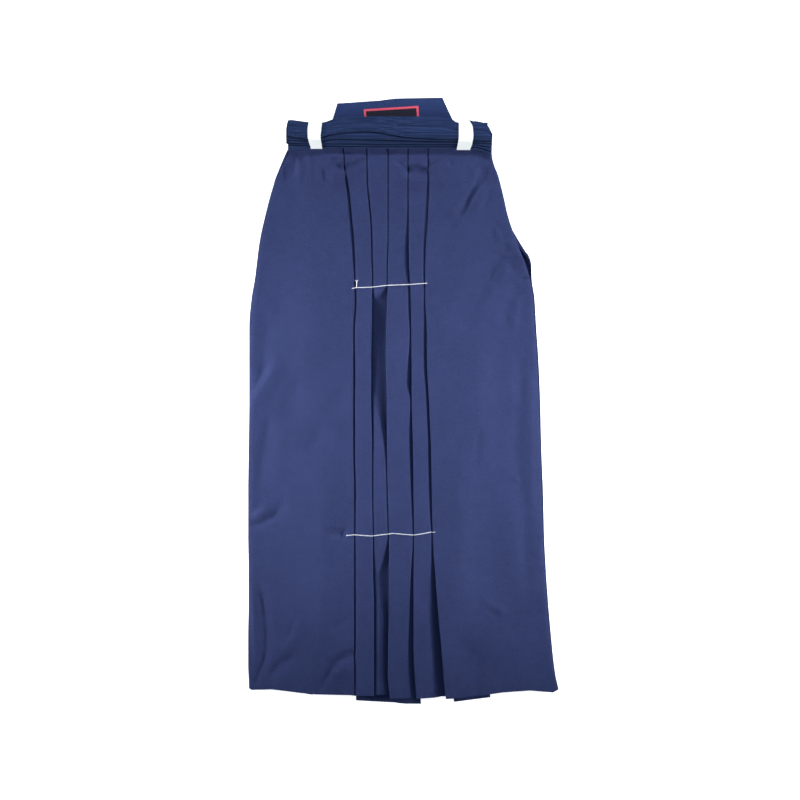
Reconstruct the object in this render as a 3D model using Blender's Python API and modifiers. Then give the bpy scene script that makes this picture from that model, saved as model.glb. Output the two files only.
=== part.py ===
"""Hakama trousers, laid flat with the front up and the waist towards +Y.

All sizes below are millimetres. "Down" is the distance below the waist seam, and "across" is the distance
from the middle line, positive to the right. Cloth layers are counted up from the surface it lies on.
"""

import math

import bmesh
import bpy

METRE = 0.001  # metres in a millimetre

CLOTH = 1.0  # one wall of cloth
PITCH = 1.35  # from one layer to the next, which leaves a gap of 0.35
TURN_STEPS = 4  # flat steps round a fold

WAIST = 439.5  # the waist seam, above the origin
FRONT_LENGTH = 950.0  # from the waist seam to the hem
HEM_STARTS = 600.0  # below this the rows begin to follow the hem
SEAM_ALLOWANCE = 14.0  # how far the fronts go up under the waistband

TUCK = 0.55  # an inner pleat's depth, as a share of the strip that lies on it
DEEP_TUCK = 40.0  # an outer pleat's depth
CLEAR = 3.0  # a strip is level this far past a tuck
TRENCH = 0.8  # the deepest place of the crevice beside a fold
SHOULDER = 3.6  # where the next strip has come up again
SPREAD = 1.5  # a strip sinks this much earlier for each millimetre that the fold over it gapes
SUNK = 2.9  # the layer of a crevice
SLOPE = 80.0  # a side panel comes down from the pleats to the back over this width
PUFF = 2.0  # the side panels' soft rise
EDGE_REACH = 60.0  # a side panel lifts with its fold over this width

# The heights at which the fronts' sections are worked out
FRONT_ROWS = (
    0, 20, 45, 80, 115, 150, 175, 200, 225, 238, 260, 285, 320, 370, 410, 450, 500, 560, 620, 674, 700, 760,
    820, 880, 915, 950,
)

# The cloth as it lies, a row for each height: where the side edges and the five pleat folds are
COLUMNS = (
    "down", "back_left", "front_left", "fold_1", "fold_2", "fold_3", "fold_4", "fold_5", "front_right",
    "back_right",
)
SHAPE = (
    (0, -203, -197, -106, -65, -27, 8, 43, 154, 140),
    (20, -212, -207, -105, -65, -27, 8, 43.5, 157, 145),
    (45, -222, -222, -103, -65, -27, 8, 44, 166, 155),
    (80, -233, -232, -98.5, -62.5, -27, 8, 43, 175, 166),
    (115, -242, -241, -95.5, -59, -27, 8, 42, 183, 178),
    (150, -250, -249, -92, -57, -27, 8, 39, 194.5, 197),
    (175, -254, -253, -90, -56.5, -27.5, 8, 37, 203.5, 212),
    (200, -257, -256, -88, -56, -28.5, 8.5, 36.5, 213, 222.5),
    (225, -260, -259, -86.5, -55, -28.5, 10, 36.5, 221, 225),
    (260, -266, -265, -85.5, -55, -28.5, 11.5, 37, 227, 230),
    (310, -270, -269, -88, -55.5, -29.5, 12.5, 39.5, 230, 233),
    (370, -270, -269, -88, -56.5, -30.5, 13.5, 40, 234, 237),
    (440, -270, -269, -88, -56.5, -28.5, 13.5, 43.5, 237, 240),
    (520, -271, -270, -88, -55, -28.5, 15, 47, 239.5, 242),
    (600, -272, -271, -86.5, -55, -27, 16.5, 48.5, 242, 245),
    (680, -272, -271, -86.5, -53.5, -25, 17, 50.5, 244.5, 247),
    (740, -271, -270, -86.5, -53, -25, 17, 53.5, 248, 250),
    (800, -271, -270, -86.5, -51.5, -25, 15, 58, 252, 254),
    (860, -272, -271, -86.5, -51.5, -26.5, 15.5, 63, 258, 259),
    (910, -272, -271, -86.5, -51.5, -27, 18, 67, 264, 264),
    (950, -270, -270, -86.5, -51.5, -23, 22, 72, 272, 270),
)

# How far each fold stands up off the strip beside it. Basting threads hold the folds down at 238 and 674.
GAPE_COLUMNS = ("down", "fold_1", "fold_2", "fold_3", "fold_4", "fold_5")
GAPES = (
    (0, 0, 0, 0, 0, 0),
    (140, 0.6, 0.5, 0.2, 0.6, 0.3),
    (180, 0.6, 0.4, 0.3, 2, 0.5),
    (215, 0.3, 0.2, 0.2, 2, 0.3),
    (238, 0, 0, 0, 0, 0),
    (260, 0.4, 0.8, 5, 0.8, 0.5),
    (285, 0.6, 1.2, 8, 1.2, 0.8),
    (320, 0.9, 1.8, 9.5, 2.6, 1.2),
    (370, 1, 2, 10, 4.8, 1.6),
    (410, 1, 1.8, 9.2, 3.8, 1.6),
    (450, 0.8, 1.4, 7, 2.4, 1.5),
    (500, 0.7, 1, 4, 2.2, 1.4),
    (560, 0.5, 0.6, 2, 1.6, 1),
    (620, 0.2, 0.3, 0.8, 0.7, 0.5),
    (674, 0, 0, 0, 0, 0),
    (700, 0.4, 0.5, 2.6, 1.4, 1.6),
    (760, 0.9, 1.2, 4.6, 4, 4.4),
    (820, 1.2, 1.6, 5.2, 6, 6.6),
    (880, 1.4, 1.8, 5.6, 7, 8),
    (950, 1.6, 2, 5.8, 7.5, 8.5),
)
# How far the strip left of the middle fold sinks to the left, as (down, share of its width)
OPEN = ((238, 0), (260, 0.6), (282, 1), (392, 1), (440, 0.62), (505, 0.1), (560, 0))

# The right side is open from the waist to here, and its edges stand up a little there
SLIT_LIFT = ((132, 0), (160, 1), (212, 1), (226, 0))
FRONT_EDGE_LIFT = 3.6
BACK_EDGE_LIFT = 3.6  # where the two edges are this far apart or more
SLIT_GAP = 9.0
BACK_EDGE_REACH = 15.0

# Hems, as (across, down) from left to right
LEFT_HEM = ((-270, 943), (-266, 946), (-230, 945), (-181, 951), (-155, 953.5), (-86.5, 955))
RIGHT_HEM = ((72, 961), (88, 960.5), (152, 953.5), (173, 950.5), (222, 947), (262, 950.5), (272, 945))
BACK_LEFT_HEM = ((-270, 941), (-185, 948), (-162, 955.5), (-150, 951), (-84, 953), (-4, 970.5), (30, 970.5))
BACK_RIGHT_HEM = ((89, 967), (152, 952), (222, 944), (270, 941))
SIDE_COLUMNS = 10  # steps across a front's side panel
BACK_COLUMNS = 6

# The centre-back pleat, as (down, place): where each back turns in, side by side as far down as the legs
# part, and how wide the turned part is at the waist and the hem
BACK_FOLDS = {"left": ((0, -14), (505, 2), (950, 31)), "right": ((0, -13.6), (505, 2.4), (950, 89))}
BACK_TURNS = {"left": (30, 113), "right": (30, 63)}
BACK_TURN_HEMS = {"left": 964.5, "right": 959}

# The gusset, as (down, left, right)
GUSSET = ((505, 0, 16), (600, -12, 32), (720, -28, 56), (840, -44, 80), (948, -58, 102))

# The back board, the label on it and the ties beside it
BOARD_THICK = 3.4
BOARD_TOP = ((-115.5, -81.5), (-90, -83), (-41, -86.5), (-14.5, -90), (10, -90.5), (68.5, -91.5))
BOARD_FOOT = ((-139.5, -1.5), (110, -1.5))
LABEL_THICK = 1.0
LABEL_CORNERS = ((-69.5, -71.0), (26.5, -77.0))
LABEL_HEIGHT = 44.0
BACK_TIE_THICK = 1.6
BACK_TIE_WIDE = 32.0
BACK_TIE_ENDS = {"left": -196.0, "right": 148.0}
SEAM = 0.35

# The front waistband and the folded ties on it, a row for each place across: the stack's top edge,
# the foot of the tie on top, and the edges of the four layers under it
BAND_THICK = 1.6
BAND_HIGH = 55.0
BAND_TILT = 2.4  # its top edge lies this much lower, towards the back board
BAND_GAP = 0.7  # above the fronts, whose curves it follows in steps of its own
BAND_COLUMNS = 36
PAPER = 0.8
FOLD_THICK = 2.1
STACK_GAP = 0.8  # under the paper bands
TIE_COLUMNS = ("across", "top", "tie", "edge_4", "edge_3", "edge_2", "edge_1")
TIES = (
    (-205, -36, -24, -19, -15, -11, -8),
    (-202, -50.5, -23.5, -17.5, -13, -9.5, 1.5),
    (-198, -51.5, -23, -17.5, -12.5, -9, 1.8),
    (-182, -49.5, -20.5, -16.5, -12, -8.5, 0),
    (-165, -47, -18, -15.5, -11, -8, -2.5),
    (-154, -46.5, -19.5, -15, -10.5, -7.5, -3),
    (-142, -46.5, -21.5, -14.5, -10.5, -7, -3.5),
    (-126, -51, -26, -18, -11, -7, -3),
    (-104, -56, -29, -18.5, -10.5, -6.5, -2.5),
    (-85, -56.5, -30.5, -18, -10.5, -6.5, -2),
    (-65, -57, -31.5, -17.5, -10, -6, -2),
    (-47, -57, -30, -17.5, -9.5, -6, -2),
    (-22, -57, -26, -16.5, -9.5, -6, -2),
    (3, -57, -22, -16, -9.5, -6, -2),
    (34, -57, -19.5, -15, -9.5, -6, -2),
    (64, -57, -18.5, -14.5, -9.5, -6, -2),
    (84, -52.5, -17.5, -14, -9.5, -6, -2),
    (96, -46.5, -17, -13.5, -9.5, -5.5, -1.5),
    (108, -47, -16.5, -13, -9, -5.5, -1),
    (120, -47.5, -16, -13, -9, -5, -0.5),
    (138, -47, -15.5, -12, -8, -4, 1),
    (148, -42, -15, -11.5, -7.5, -3.5, 1.8),
    (154, -30, -16, -12, -8.5, -5, 1.5),
    (156, -24, -18, -15, -11, -8, -3),
)
PAPER_BANDS = {"paper_band_left": (-167, -143), "paper_band_right": (96.5, 121)}


def clear_scene():
    for thing in list(bpy.data.objects):
        bpy.data.objects.remove(thing, do_unlink=True)


def linear(channel):
    """One channel of a screen colour, from 0 to 255, as light."""
    share = channel / 255
    return share / 12.92 if share <= 0.04045 else ((share + 0.055) / 1.055) ** 2.4


def finish(name, colour, roughness):
    made = bpy.data.materials.new(name)
    made.use_nodes = True
    shader = made.node_tree.nodes["Principled BSDF"]
    shader.inputs["Base Color"].default_value = (*[linear(channel) for channel in colour], 1)
    shader.inputs["Roughness"].default_value = roughness
    shader.inputs["Metallic"].default_value = 0
    return made


def read(table, columns, key, place):
    """The value of a column at a place along the table's first column, on straight lines between its rows."""
    index = columns.index(key)
    before = table[0]
    for row in table:
        if row[0] >= place:
            share = 0 if row[0] == before[0] else (place - before[0]) / (row[0] - before[0])
            return before[index] + max(share, 0) * (row[index] - before[index])
        before = row
    return table[-1][index]


def along(points, place):
    return read(points, ("place", "value"), "value", place)


def line(key, down):
    return read(SHAPE, COLUMNS, key, down)


def gape(key, down):
    return read(GAPES, GAPE_COLUMNS, key, down)


def height(layer):
    """The middle of a wall of cloth on this layer."""
    return CLOTH / 2 + layer * PITCH


def smooth(share):
    share = min(max(share, 0), 1)
    return share * share * (3 - 2 * share)


def row_down(down, hem):
    """How far down a point of a row is, once the row follows the hem."""
    return down + (hem - FRONT_LENGTH) * smooth((down - HEM_STARTS) / (FRONT_LENGTH - HEM_STARTS))


def lattice(rows, wrap=False):
    """A grid whose points are moved to the rows, each a list of (across, down, height)."""
    columns = len(rows[0]) if wrap else len(rows[0]) - 1
    mesh = bmesh.new()
    bmesh.ops.create_grid(mesh, x_segments=columns, y_segments=len(rows) - 1, size=1)
    for vert in mesh.verts:
        column = round((vert.co.x + 1) / 2 * columns) % len(rows[0])
        row = round((vert.co.y + 1) / 2 * (len(rows) - 1))
        across, down, up = rows[row][column]
        vert.co = (across * METRE, (WAIST - down) * METRE, up * METRE)
    if wrap:
        bmesh.ops.remove_doubles(mesh, verts=mesh.verts, dist=1e-7)
    return mesh


def keep(name, mesh, material, collection):
    data = bpy.data.meshes.new(name)
    mesh.to_mesh(data)
    mesh.free()
    data.materials.append(material)
    data.shade_smooth()
    data.set_sharp_from_angle(angle=math.radians(40))
    thing = bpy.data.objects.new(name, data)
    collection.objects.link(thing)
    return thing


def wall(name, rows, thick, material, collection, wrap=False):
    """A sheet of cloth or paper: the rows are its middle, and Solidify gives it its thickness."""
    thing = keep(name, lattice(rows, wrap), material, collection)
    solidify = thing.modifiers.new("thickness", "SOLIDIFY")
    solidify.thickness = thick * METRE
    solidify.offset = 0
    solidify.use_even_offset = True
    return thing


def bar(name, rings, material, collection):
    """A closed body through rings, with flat ends."""
    mesh = lattice(rings, wrap=True)
    ends = [edge for edge in mesh.edges if edge.is_boundary]
    bmesh.ops.edgeloop_fill(mesh, edges=ends)
    bmesh.ops.recalc_face_normals(mesh, faces=mesh.faces)
    return keep(name, mesh, material, collection)


def turn(across, start, end, side):
    """The middle of a rounded fold between two heights, with the cloth's outside at this place."""
    radius = abs(start - end) / 2
    middle = (start + end) / 2
    points = []
    for step in range(TURN_STEPS + 1):
        angle = math.pi * step / TURN_STEPS
        back = CLOTH / 2 + radius * (1 - math.sin(angle))
        points.append((across - side * back, middle + (start - middle) * math.cos(angle)))
    return points


def side_height(from_fold, width, gape):
    """A side panel's height: level over its deep pleat, then down to the back with a soft rise."""
    flat = DEEP_TUCK + CLEAR
    run = min(SLOPE, 0.9 * (width - flat))
    fall = smooth((from_fold - flat) / run)
    rise = PUFF * math.sin(math.pi * min(from_fold / width, 1)) ** 2 * min(width / 150, 1) * fall
    lifted = gape * max(1 - from_fold / EDGE_REACH, 0) ** 1.3
    return height(5) + (height(1) - height(5)) * fall + rise + lifted


def side_panel(edge, fold, gape, hems):
    """A front's side panel at one height, from its side edge to its first fold, as (across, height, hem)."""
    stop = fold - math.copysign(CLOTH / 2 + PITCH / 2, fold - edge)
    points = []
    for step in range(SIDE_COLUMNS):
        across = edge + (stop - edge) * step / SIDE_COLUMNS
        up = side_height(abs(fold - across), abs(fold - edge), gape)
        points.append((across, up, along(hems, across)))
    return points


def left_pleats(down):
    """The places that the left front's cloth passes at one height: across, layer, lift, hem and the steps to
    it. Two places at one distance across are a fold."""
    one, two, three, four = (line(key, down) for key in ("fold_1", "fold_2", "fold_3", "fold_4"))
    lift_1, lift_2, lift_3 = (gape(key, down) for key in ("fold_1", "fold_2", "fold_3"))
    tuck = TUCK * (two - one)
    opened = along(OPEN, down)
    start = three - SHOULDER - 0.5 * SPREAD * lift_3
    start += (two + TRENCH + 1 - start) * opened
    low = SUNK - 0.7 * smooth(lift_3 / 6) * smooth((520 - down) / 60)
    rise_end = start - 0.3 if opened > 0.9 else min(two + SHOULDER, start - 0.3)
    return (
        (one, 5, lift_1, 955, 0),
        (one, 4, lift_1, 955, 0),
        (one - DEEP_TUCK, 4, 0.15 * lift_1, 951, 2),
        (one - DEEP_TUCK, 3, 0.15 * lift_1, 951, 0),
        (one + TRENCH, SUNK, 0, 956, 2),
        (one + SHOULDER, 4.9, 0.15 * lift_2, 956, 2),
        (two - tuck - CLEAR, 5.1, 0.3 * lift_2, 956, 1),
        (two, 5, lift_2, 956, 2),
        (two, 4, lift_2, 956, 0),
        (two - tuck, 4, 0.3 * lift_2, 952, 1),
        (two - tuck, 3, 0.2 * lift_2, 952, 0),
        (two + TRENCH, low, 0, 954, 2),
        (rise_end, 4.9 - 2.2 * opened, 0, 954, 2),
        (start, 5 - 2.3 * opened, 0, 954, 1),
        (three - TRENCH, low, 0, 954, 3),
        (three + TUCK * (four - three), low, 0, 954, 2),
    )


def right_pleats(down):
    three, four, five = (line(key, down) for key in ("fold_3", "fold_4", "fold_5"))
    lift_3, lift_4, lift_5 = (gape(key, down) for key in ("fold_3", "fold_4", "fold_5"))
    first_tuck, last_tuck = TUCK * (five - four), TUCK * (four - three)
    return (
        (five, 5, lift_5, 961, 0),
        (five, 4, lift_5, 961, 0),
        (five + DEEP_TUCK, 4, 0.15 * lift_5, 955, 2),
        (five + DEEP_TUCK, 3, 0.15 * lift_5, 955, 0),
        (five - TRENCH, SUNK, 0, 957, 2),
        (max(five - SHOULDER - SPREAD * lift_5, four + first_tuck + CLEAR + 1), 5, 0.15 * lift_4, 958, 3),
        (four + first_tuck + CLEAR, 5.1, 0.32 * lift_4, 959, 1),
        (four, 5, lift_4, 961, 2),
        (four, 4, lift_4, 961, 0),
        (four + first_tuck, 4, 0.32 * lift_4, 956, 2),
        (four + first_tuck, 3, 0.2 * lift_4, 956, 0),
        (four - TRENCH, SUNK, 0, 958, 2),
        (max(four - SHOULDER - SPREAD * lift_4, three + last_tuck + CLEAR + 1), 5, 0.15 * lift_3, 959, 3),
        (three + last_tuck + CLEAR, 5.1, 0.36 * lift_3, 960, 1),
        (three, 5, lift_3, 961, 3),
        (three, 4, lift_3, 961, 0),
        (three + last_tuck, 4, 0.36 * lift_3, 955, 2),
    )


def pleats(knots, travel):
    """The pleats at one height, as (across, height, hem). Travel is 1 or -1, the way the cloth starts."""
    points = []
    last = None
    index = 0
    while index < len(knots):
        across, layer, lifted, hem, steps = knots[index]
        up = height(layer) + lifted
        folded = index + 1 < len(knots) and knots[index + 1][0] == across
        if folded:
            below = knots[index + 1]
            reached = turn(across, up, height(below[1]) + below[2], travel)
        else:
            reached = [(across, up)]
        if last:
            last_across, last_layer, last_lift, last_hem = last
            for step in range(1, steps):
                share = step / steps
                level = height(last_layer) + (height(layer) - height(last_layer)) * smooth(share)
                points.append((
                    last_across + (reached[0][0] - last_across) * share,
                    level + last_lift + (lifted - last_lift) * share,
                    last_hem + (hem - last_hem) * share,
                ))
        points += [(place, high, hem) for place, high in reached]
        if folded:
            travel = -travel
            index += 1
        last = (reached[-1][0], knots[index][1], knots[index][2], hem)
        index += 1
    return points


def front_rows(edge, fold, hems, pleats_at, travel):
    rows = []
    for down in (-SEAM_ALLOWANCE, *FRONT_ROWS):
        points = side_panel(line(edge, down), line(fold, down), gape(fold, down), hems)
        slit = FRONT_EDGE_LIFT * along(SLIT_LIFT, down) if edge == "front_right" else 0
        points[0] = (points[0][0], points[0][1] + slit, points[0][2])
        points += pleats(pleats_at(down), travel)
        rows.append([(across, row_down(down, hem), up) for across, up, hem in points])
    return rows


def make_fronts(cloth, collection):
    left = front_rows("front_left", "fold_1", LEFT_HEM, left_pleats, 1)
    right = front_rows("front_right", "fold_5", RIGHT_HEM, right_pleats, -1)
    wall("front_left", left, CLOTH, cloth, collection)
    wall("front_right", right, CLOTH, cloth, collection)


def back_rows(side, edge, hems, travel):
    """A back, flat on the surface from its side edge to the centre pleat, where it turns in on itself."""
    rows = []
    for down in [0.6] + [row[0] for row in SHAPE[1:]]:
        share = down / FRONT_LENGTH
        fold = along(BACK_FOLDS[side], down)
        width = BACK_TURNS[side][0] + share * (BACK_TURNS[side][1] - BACK_TURNS[side][0])
        outer = line(edge, down)
        folded = turn(fold, height(0), height(1), travel)
        inner = outer + travel * BACK_EDGE_REACH
        reach = folded[0][0] - inner
        gap = max(outer - line("front_right", down), 0) if side == "right" else 0
        lift = BACK_EDGE_LIFT * along(SLIT_LIFT, down) * min(gap / SLIT_GAP, 1)
        flat = [(outer, height(0) + lift)]
        flat += [(inner + reach * step / BACK_COLUMNS, height(0)) for step in range(BACK_COLUMNS)]
        points = [(across, up, along(hems, across)) for across, up in flat + folded]
        last_hem = along(hems, fold)
        for step in range(1, 4):
            across = folded[-1][0] - travel * width * step / 3
            points.append((across, height(1), last_hem + (BACK_TURN_HEMS[side] - last_hem) * step / 3))
        rows.append([(across, row_down(down, hem), up) for across, up, hem in points])
    return rows


def make_backs(cloth, collection):
    wall("back_left", back_rows("left", "back_left", BACK_LEFT_HEM, 1), CLOTH, cloth, collection)
    wall("back_right", back_rows("right", "back_right", BACK_RIGHT_HEM, -1), CLOTH, cloth, collection)


def make_gusset(cloth, collection):
    rows = []
    for down, left, right in GUSSET:
        rows.append([(left + (right - left) * step / 3, down, height(2)) for step in range(4)])
    wall("gusset", rows, CLOTH, cloth, collection)


def make_board(cloth, collection):
    """The stiff board, flat on the surface, with its edges a little rounded."""
    rows = []
    foot = BOARD_FOOT
    for share in (0, 0.5, 1):
        row = []
        for across, down in BOARD_TOP:
            width = (across - BOARD_TOP[0][0]) / (BOARD_TOP[-1][0] - BOARD_TOP[0][0])
            foot_across = foot[0][0] + width * (foot[1][0] - foot[0][0])
            low = down + share * (foot[0][1] - down)
            row.append((across + share * (foot_across - across), low, BOARD_THICK / 2))
        rows.append(row)
    board = wall("koshi_ita", rows, BOARD_THICK, cloth, collection)
    bevel = board.modifiers.new("soft edges", "BEVEL")
    bevel.width = 0.8 * METRE
    bevel.segments = 2
    bevel.limit_method = "ANGLE"
    bevel.angle_limit = math.radians(60)


def make_label(weave, collection):
    (left, left_down), (right, right_down) = LABEL_CORNERS
    slant = (right_down - left_down) / (right - left)
    up = BOARD_THICK + SEAM + LABEL_THICK / 2
    rows = []
    for share in (0, 1):
        lean = share * LABEL_HEIGHT
        ends = ((left, left_down), (right, right_down))
        rows.append([(across - lean * slant, down + lean, up) for across, down in ends])
    wall("label", rows, LABEL_THICK, weave, collection)


def make_back_ties(cloth, collection):
    """The back ties, sewn to the board's sides, run out under the waist and end in a rounded turn."""
    foot = -SEAM_ALLOWANCE - 2
    for side, out in (("left", -1), ("right", 1)):
        corner = BOARD_FOOT[0] if out < 0 else BOARD_FOOT[1]
        top = BOARD_TOP[0] if out < 0 else BOARD_TOP[-1]
        rows = []
        for down in (foot - BACK_TIE_WIDE, foot - BACK_TIE_WIDE / 2, foot):
            share = (down - top[1]) / (corner[1] - top[1])
            start = top[0] + share * (corner[0] - top[0]) + out * SEAM
            end = BACK_TIE_ENDS[side]
            rows.append([(start + (end - start) * step / 4, down, BACK_TIE_THICK / 2) for step in range(5)])
        wall("back_tie_" + side, rows, BACK_TIE_THICK, cloth, collection)


def over_fronts(across):
    """The middle of the fronts' highest layer at the waist."""
    left, right = line("fold_1", 0), line("fold_5", 0)
    if across < left:
        return side_height(left - across, left - line("front_left", 0), 0)
    if across > right:
        return side_height(across - right, line("front_right", 0) - right, 0)
    return height(5)


def band_height(across, down):
    half = BAND_THICK / 2
    tilt = BAND_TILT * min(down + SEAM_ALLOWANCE, 0) / BAND_HIGH
    return max(over_fronts(across) + CLOTH / 2 + BAND_GAP + half + tilt, BACK_TIE_THICK + SEAM + half)


def tie(key, across):
    return read(TIES, TIE_COLUMNS, key, across)


def make_waistband(cloth, collection):
    left, right = line("front_left", 0) - 1, line("front_right", 0) - 2
    rows = []
    for down in (-BAND_HIGH, -SEAM_ALLOWANCE, -2.5):
        row = []
        for step in range(BAND_COLUMNS + 1):
            across = left + (right - left) * step / BAND_COLUMNS
            low_top = max(down, tie("top", across) + 2)
            row.append((across, low_top, band_height(across, low_top)))
        rows.append(row)
    wall("front_waistband", rows, BAND_THICK, cloth, collection)


def stack_floor(across):
    """The underside of the folded ties, above the waistband and a turn of paper band."""
    above = BAND_THICK / 2 + STACK_GAP + PAPER + SEAM
    return along([(row[0], band_height(row[0], 0) + above) for row in TIES], across)


def rounded_fold(top, foot, low, high):
    """A tie's section: flat, with rounded long edges."""
    soft = (high - low) / 3
    return [
        (top + soft, low), (foot - soft, low), (foot, low + soft), (foot, high - soft), (foot - soft, high),
        ((top + foot) / 2, high), (top + soft, high), (top, high - soft), (top, low + soft),
    ]


def stack_ring(across):
    """The section of the folded ties under the top one: four folds, each shorter than the one below."""
    floor = stack_floor(across)
    edges = [tie(key, across) for key in ("edge_1", "edge_2", "edge_3", "edge_4")]
    top = tie("top", across)
    nose = 0.5
    ring = []
    for count, edge in enumerate(edges):
        low = floor + count * FOLD_THICK
        high = low + FOLD_THICK
        ring += [(edge - nose, low), (edge, low + nose), (edge, high - nose), (edge - nose, high)]
    for count in reversed(range(len(edges))):
        low = floor + count * FOLD_THICK
        edge = top + (0.8 if count % 2 else 0.2)
        ring += [(edge, low + FOLD_THICK - nose / 2), (edge, low + nose / 2), (edge + nose, low)]
    return [(across, down, up) for down, up in ring]


def make_ties(cloth, collection):
    bar("ties_bundle", [stack_ring(row[0]) for row in TIES], cloth, collection)
    rings = []
    for row in TIES:
        low = stack_floor(row[0]) + 4 * FOLD_THICK + SEAM
        section = rounded_fold(tie("top", row[0]), tie("tie", row[0]), low, low + FOLD_THICK)
        rings.append([(row[0], down, up) for down, up in section])
    bar("front_tie", rings, cloth, collection)


def make_paper_bands(paper, collection):
    """A flat loop of paper round the folded ties."""
    for name, (left, right) in PAPER_BANDS.items():
        rows = []
        inner = [row[0] for row in TIES if left < row[0] < right]
        for across in (left, *inner, right):
            out = SEAM + PAPER / 2
            low = stack_floor(across) - out
            high = low + 5 * FOLD_THICK + SEAM + 2 * out
            top = min(tie("top", place) for place in (left, *inner, right)) - out
            foot = max(tie("edge_1", place) for place in (left, *inner, right)) + out
            shoulder = max(tie("tie", place) for place in (left, *inner, right)) + out
            ring = [
                (top + 1, low), (foot - 1, low), (foot, low + 1), (foot, low + 3), (shoulder, high - 1),
                (shoulder - 1, high), ((top + shoulder) / 2, high), (top + 1, high), (top, high - 1),
                (top, low + 1),
            ]
            rows.append([(across, down, up) for down, up in ring])
        wall(name, rows, PAPER, paper, collection, wrap=True)


def main():
    clear_scene()
    collection = bpy.data.collections.new("hakama")
    bpy.context.scene.collection.children.link(collection)
    twill = finish("navy twill", (60, 72, 118), 0.8)
    coarse = finish("navy tie cloth", (42, 55, 98), 0.85)
    make_fronts(twill, collection)
    make_backs(twill, collection)
    make_gusset(twill, collection)
    make_board(coarse, collection)
    make_label(finish("label weave", (38, 38, 56), 0.7), collection)
    make_back_ties(coarse, collection)
    make_waistband(coarse, collection)
    make_ties(coarse, collection)
    make_paper_bands(finish("white paper", (250, 250, 248), 0.6), collection)


main()
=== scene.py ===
# %% [markdown]
# # Hakama trousers, laid flat
# A hakama is a pair of wide pleated trousers. This one lies on a white surface with its front up. Its long ties are
# folded across the waist and held by two paper bands. This lesson dresses a measured frame of the garment: every
# piece of cloth is made again as a thin shell, with its folds, creases, weave and sewing.

# %% Load the frame
import math

import bmesh
import bpy
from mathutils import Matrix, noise
from mathutils.bvhtree import BVHTree


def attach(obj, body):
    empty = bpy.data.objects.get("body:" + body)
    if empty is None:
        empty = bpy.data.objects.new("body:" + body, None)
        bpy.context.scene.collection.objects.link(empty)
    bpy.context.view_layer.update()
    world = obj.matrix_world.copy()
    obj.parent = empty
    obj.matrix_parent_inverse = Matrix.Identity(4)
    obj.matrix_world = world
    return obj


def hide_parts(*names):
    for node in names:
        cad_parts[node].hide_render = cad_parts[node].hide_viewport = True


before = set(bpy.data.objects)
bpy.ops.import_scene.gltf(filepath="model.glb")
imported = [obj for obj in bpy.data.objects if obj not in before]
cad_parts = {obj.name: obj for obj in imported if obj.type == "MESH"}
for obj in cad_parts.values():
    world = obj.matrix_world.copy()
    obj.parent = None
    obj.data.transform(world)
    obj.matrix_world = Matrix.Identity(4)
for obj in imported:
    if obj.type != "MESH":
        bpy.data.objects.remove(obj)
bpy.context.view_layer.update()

print("nodes in the frame:", len(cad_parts))

# %% [markdown]
# ## Sizes
# A maker works in millimetres, so the lengths below are millimetres, and one function turns them into the metres of
# the scene. "Across" is the distance from the middle line, positive to the right. "Down" is the distance below the
# waist seam, and "up" is the height above the surface. The real cloth is thin; its layers lie a little apart.

# %% Sizes of the cloth and its layers
METRE = 0.001  # metres in a millimetre
WAIST = 439.5  # the waist seam, above the middle of the garment
LENGTH = 950.0  # of the front, from the waist seam to the hem
CLOTH = 0.7  # one wall of cloth
PITCH = 1.35  # from one layer to the next
SEAM_ALLOWANCE = 14.0
HEM_STARTS = 600.0
BOARD_THICK = 3.4


def place(across, down, up):
    return across * METRE, (WAIST - down) * METRE, up * METRE


def height(layer):
    """The middle of a wall of cloth on this layer."""
    return CLOTH / 2 + layer * PITCH


def smooth(share):
    share = min(max(share, 0.0), 1.0)
    return share * share * (3 - 2 * share)


print("seven layers of cloth are", round(height(6) + CLOTH / 2, 1), "mm high")

# %% [markdown]
# ## Camera
# The photograph looks straight down from far away, so the lens is long and the picture has almost no perspective.

# %% Camera
PICTURE_WIDE = 1402.0  # the width of the floor that the picture shows
PICTURE_MIDDLE = (-5.8, 438.2)  # across and down
CAMERA_HIGH = 7.0
camera_data = bpy.data.cameras.new("camera")
camera_data.lens = camera_data.sensor_width * CAMERA_HIGH / (PICTURE_WIDE * METRE)
camera_data.clip_end = 50
camera = bpy.data.objects.new("camera", camera_data)
across, down = PICTURE_MIDDLE
camera.location = place(across, down, CAMERA_HIGH / METRE)
bpy.context.scene.collection.objects.link(camera)
bpy.context.scene.camera = camera
print("lens", round(camera_data.lens), "mm")

# %% [markdown]
# ## Light
# Two low soft boxes, one on each side, light the cloth as on a copy stand: each fold of a pleat throws a soft
# shadow on the strip beside it, and creases show. Their beams fade towards the hem. A small lamp beyond the waist
# picks out the folds of the ties. The floor, made last, is brighter than white, so it stays plain.

# %% Light
bpy.context.scene.view_settings.view_transform = "Standard"


def area_light(name, where, towards, size, power, beam):
    """A soft box. The beam, in degrees, is how far its light spreads: a narrow one fades along the garment."""
    lamp_data = bpy.data.lights.new(name, "AREA")
    lamp_data.shape = "RECTANGLE"
    lamp_data.size, lamp_data.size_y = size
    lamp_data.energy = power
    lamp_data.spread = math.radians(beam)
    lamp = bpy.data.objects.new(name, lamp_data)
    lamp.location = where
    gap = [b - a for a, b in zip(where, towards)]
    level = math.hypot(gap[0], gap[1])
    lamp.rotation_euler = (math.atan2(level, -gap[2]), 0, math.atan2(gap[1], gap[0]) - math.pi / 2)
    lamp.visible_camera = False
    bpy.context.scene.collection.objects.link(lamp)


area_light("right light", (1.2, -0.06, 0.33), (0.15, -0.06, 0.0), (0.78, 0.1), 4.2, 54)
area_light("left light", (-1.2, -0.015, 0.33), (-0.15, -0.015, 0.0), (0.78, 0.1), 4.4, 54)
area_light("top light", (0.3, 1.15, 0.46), (0.0, 0.44, 0.0), (0.7, 0.2), 1.7, 70)

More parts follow.
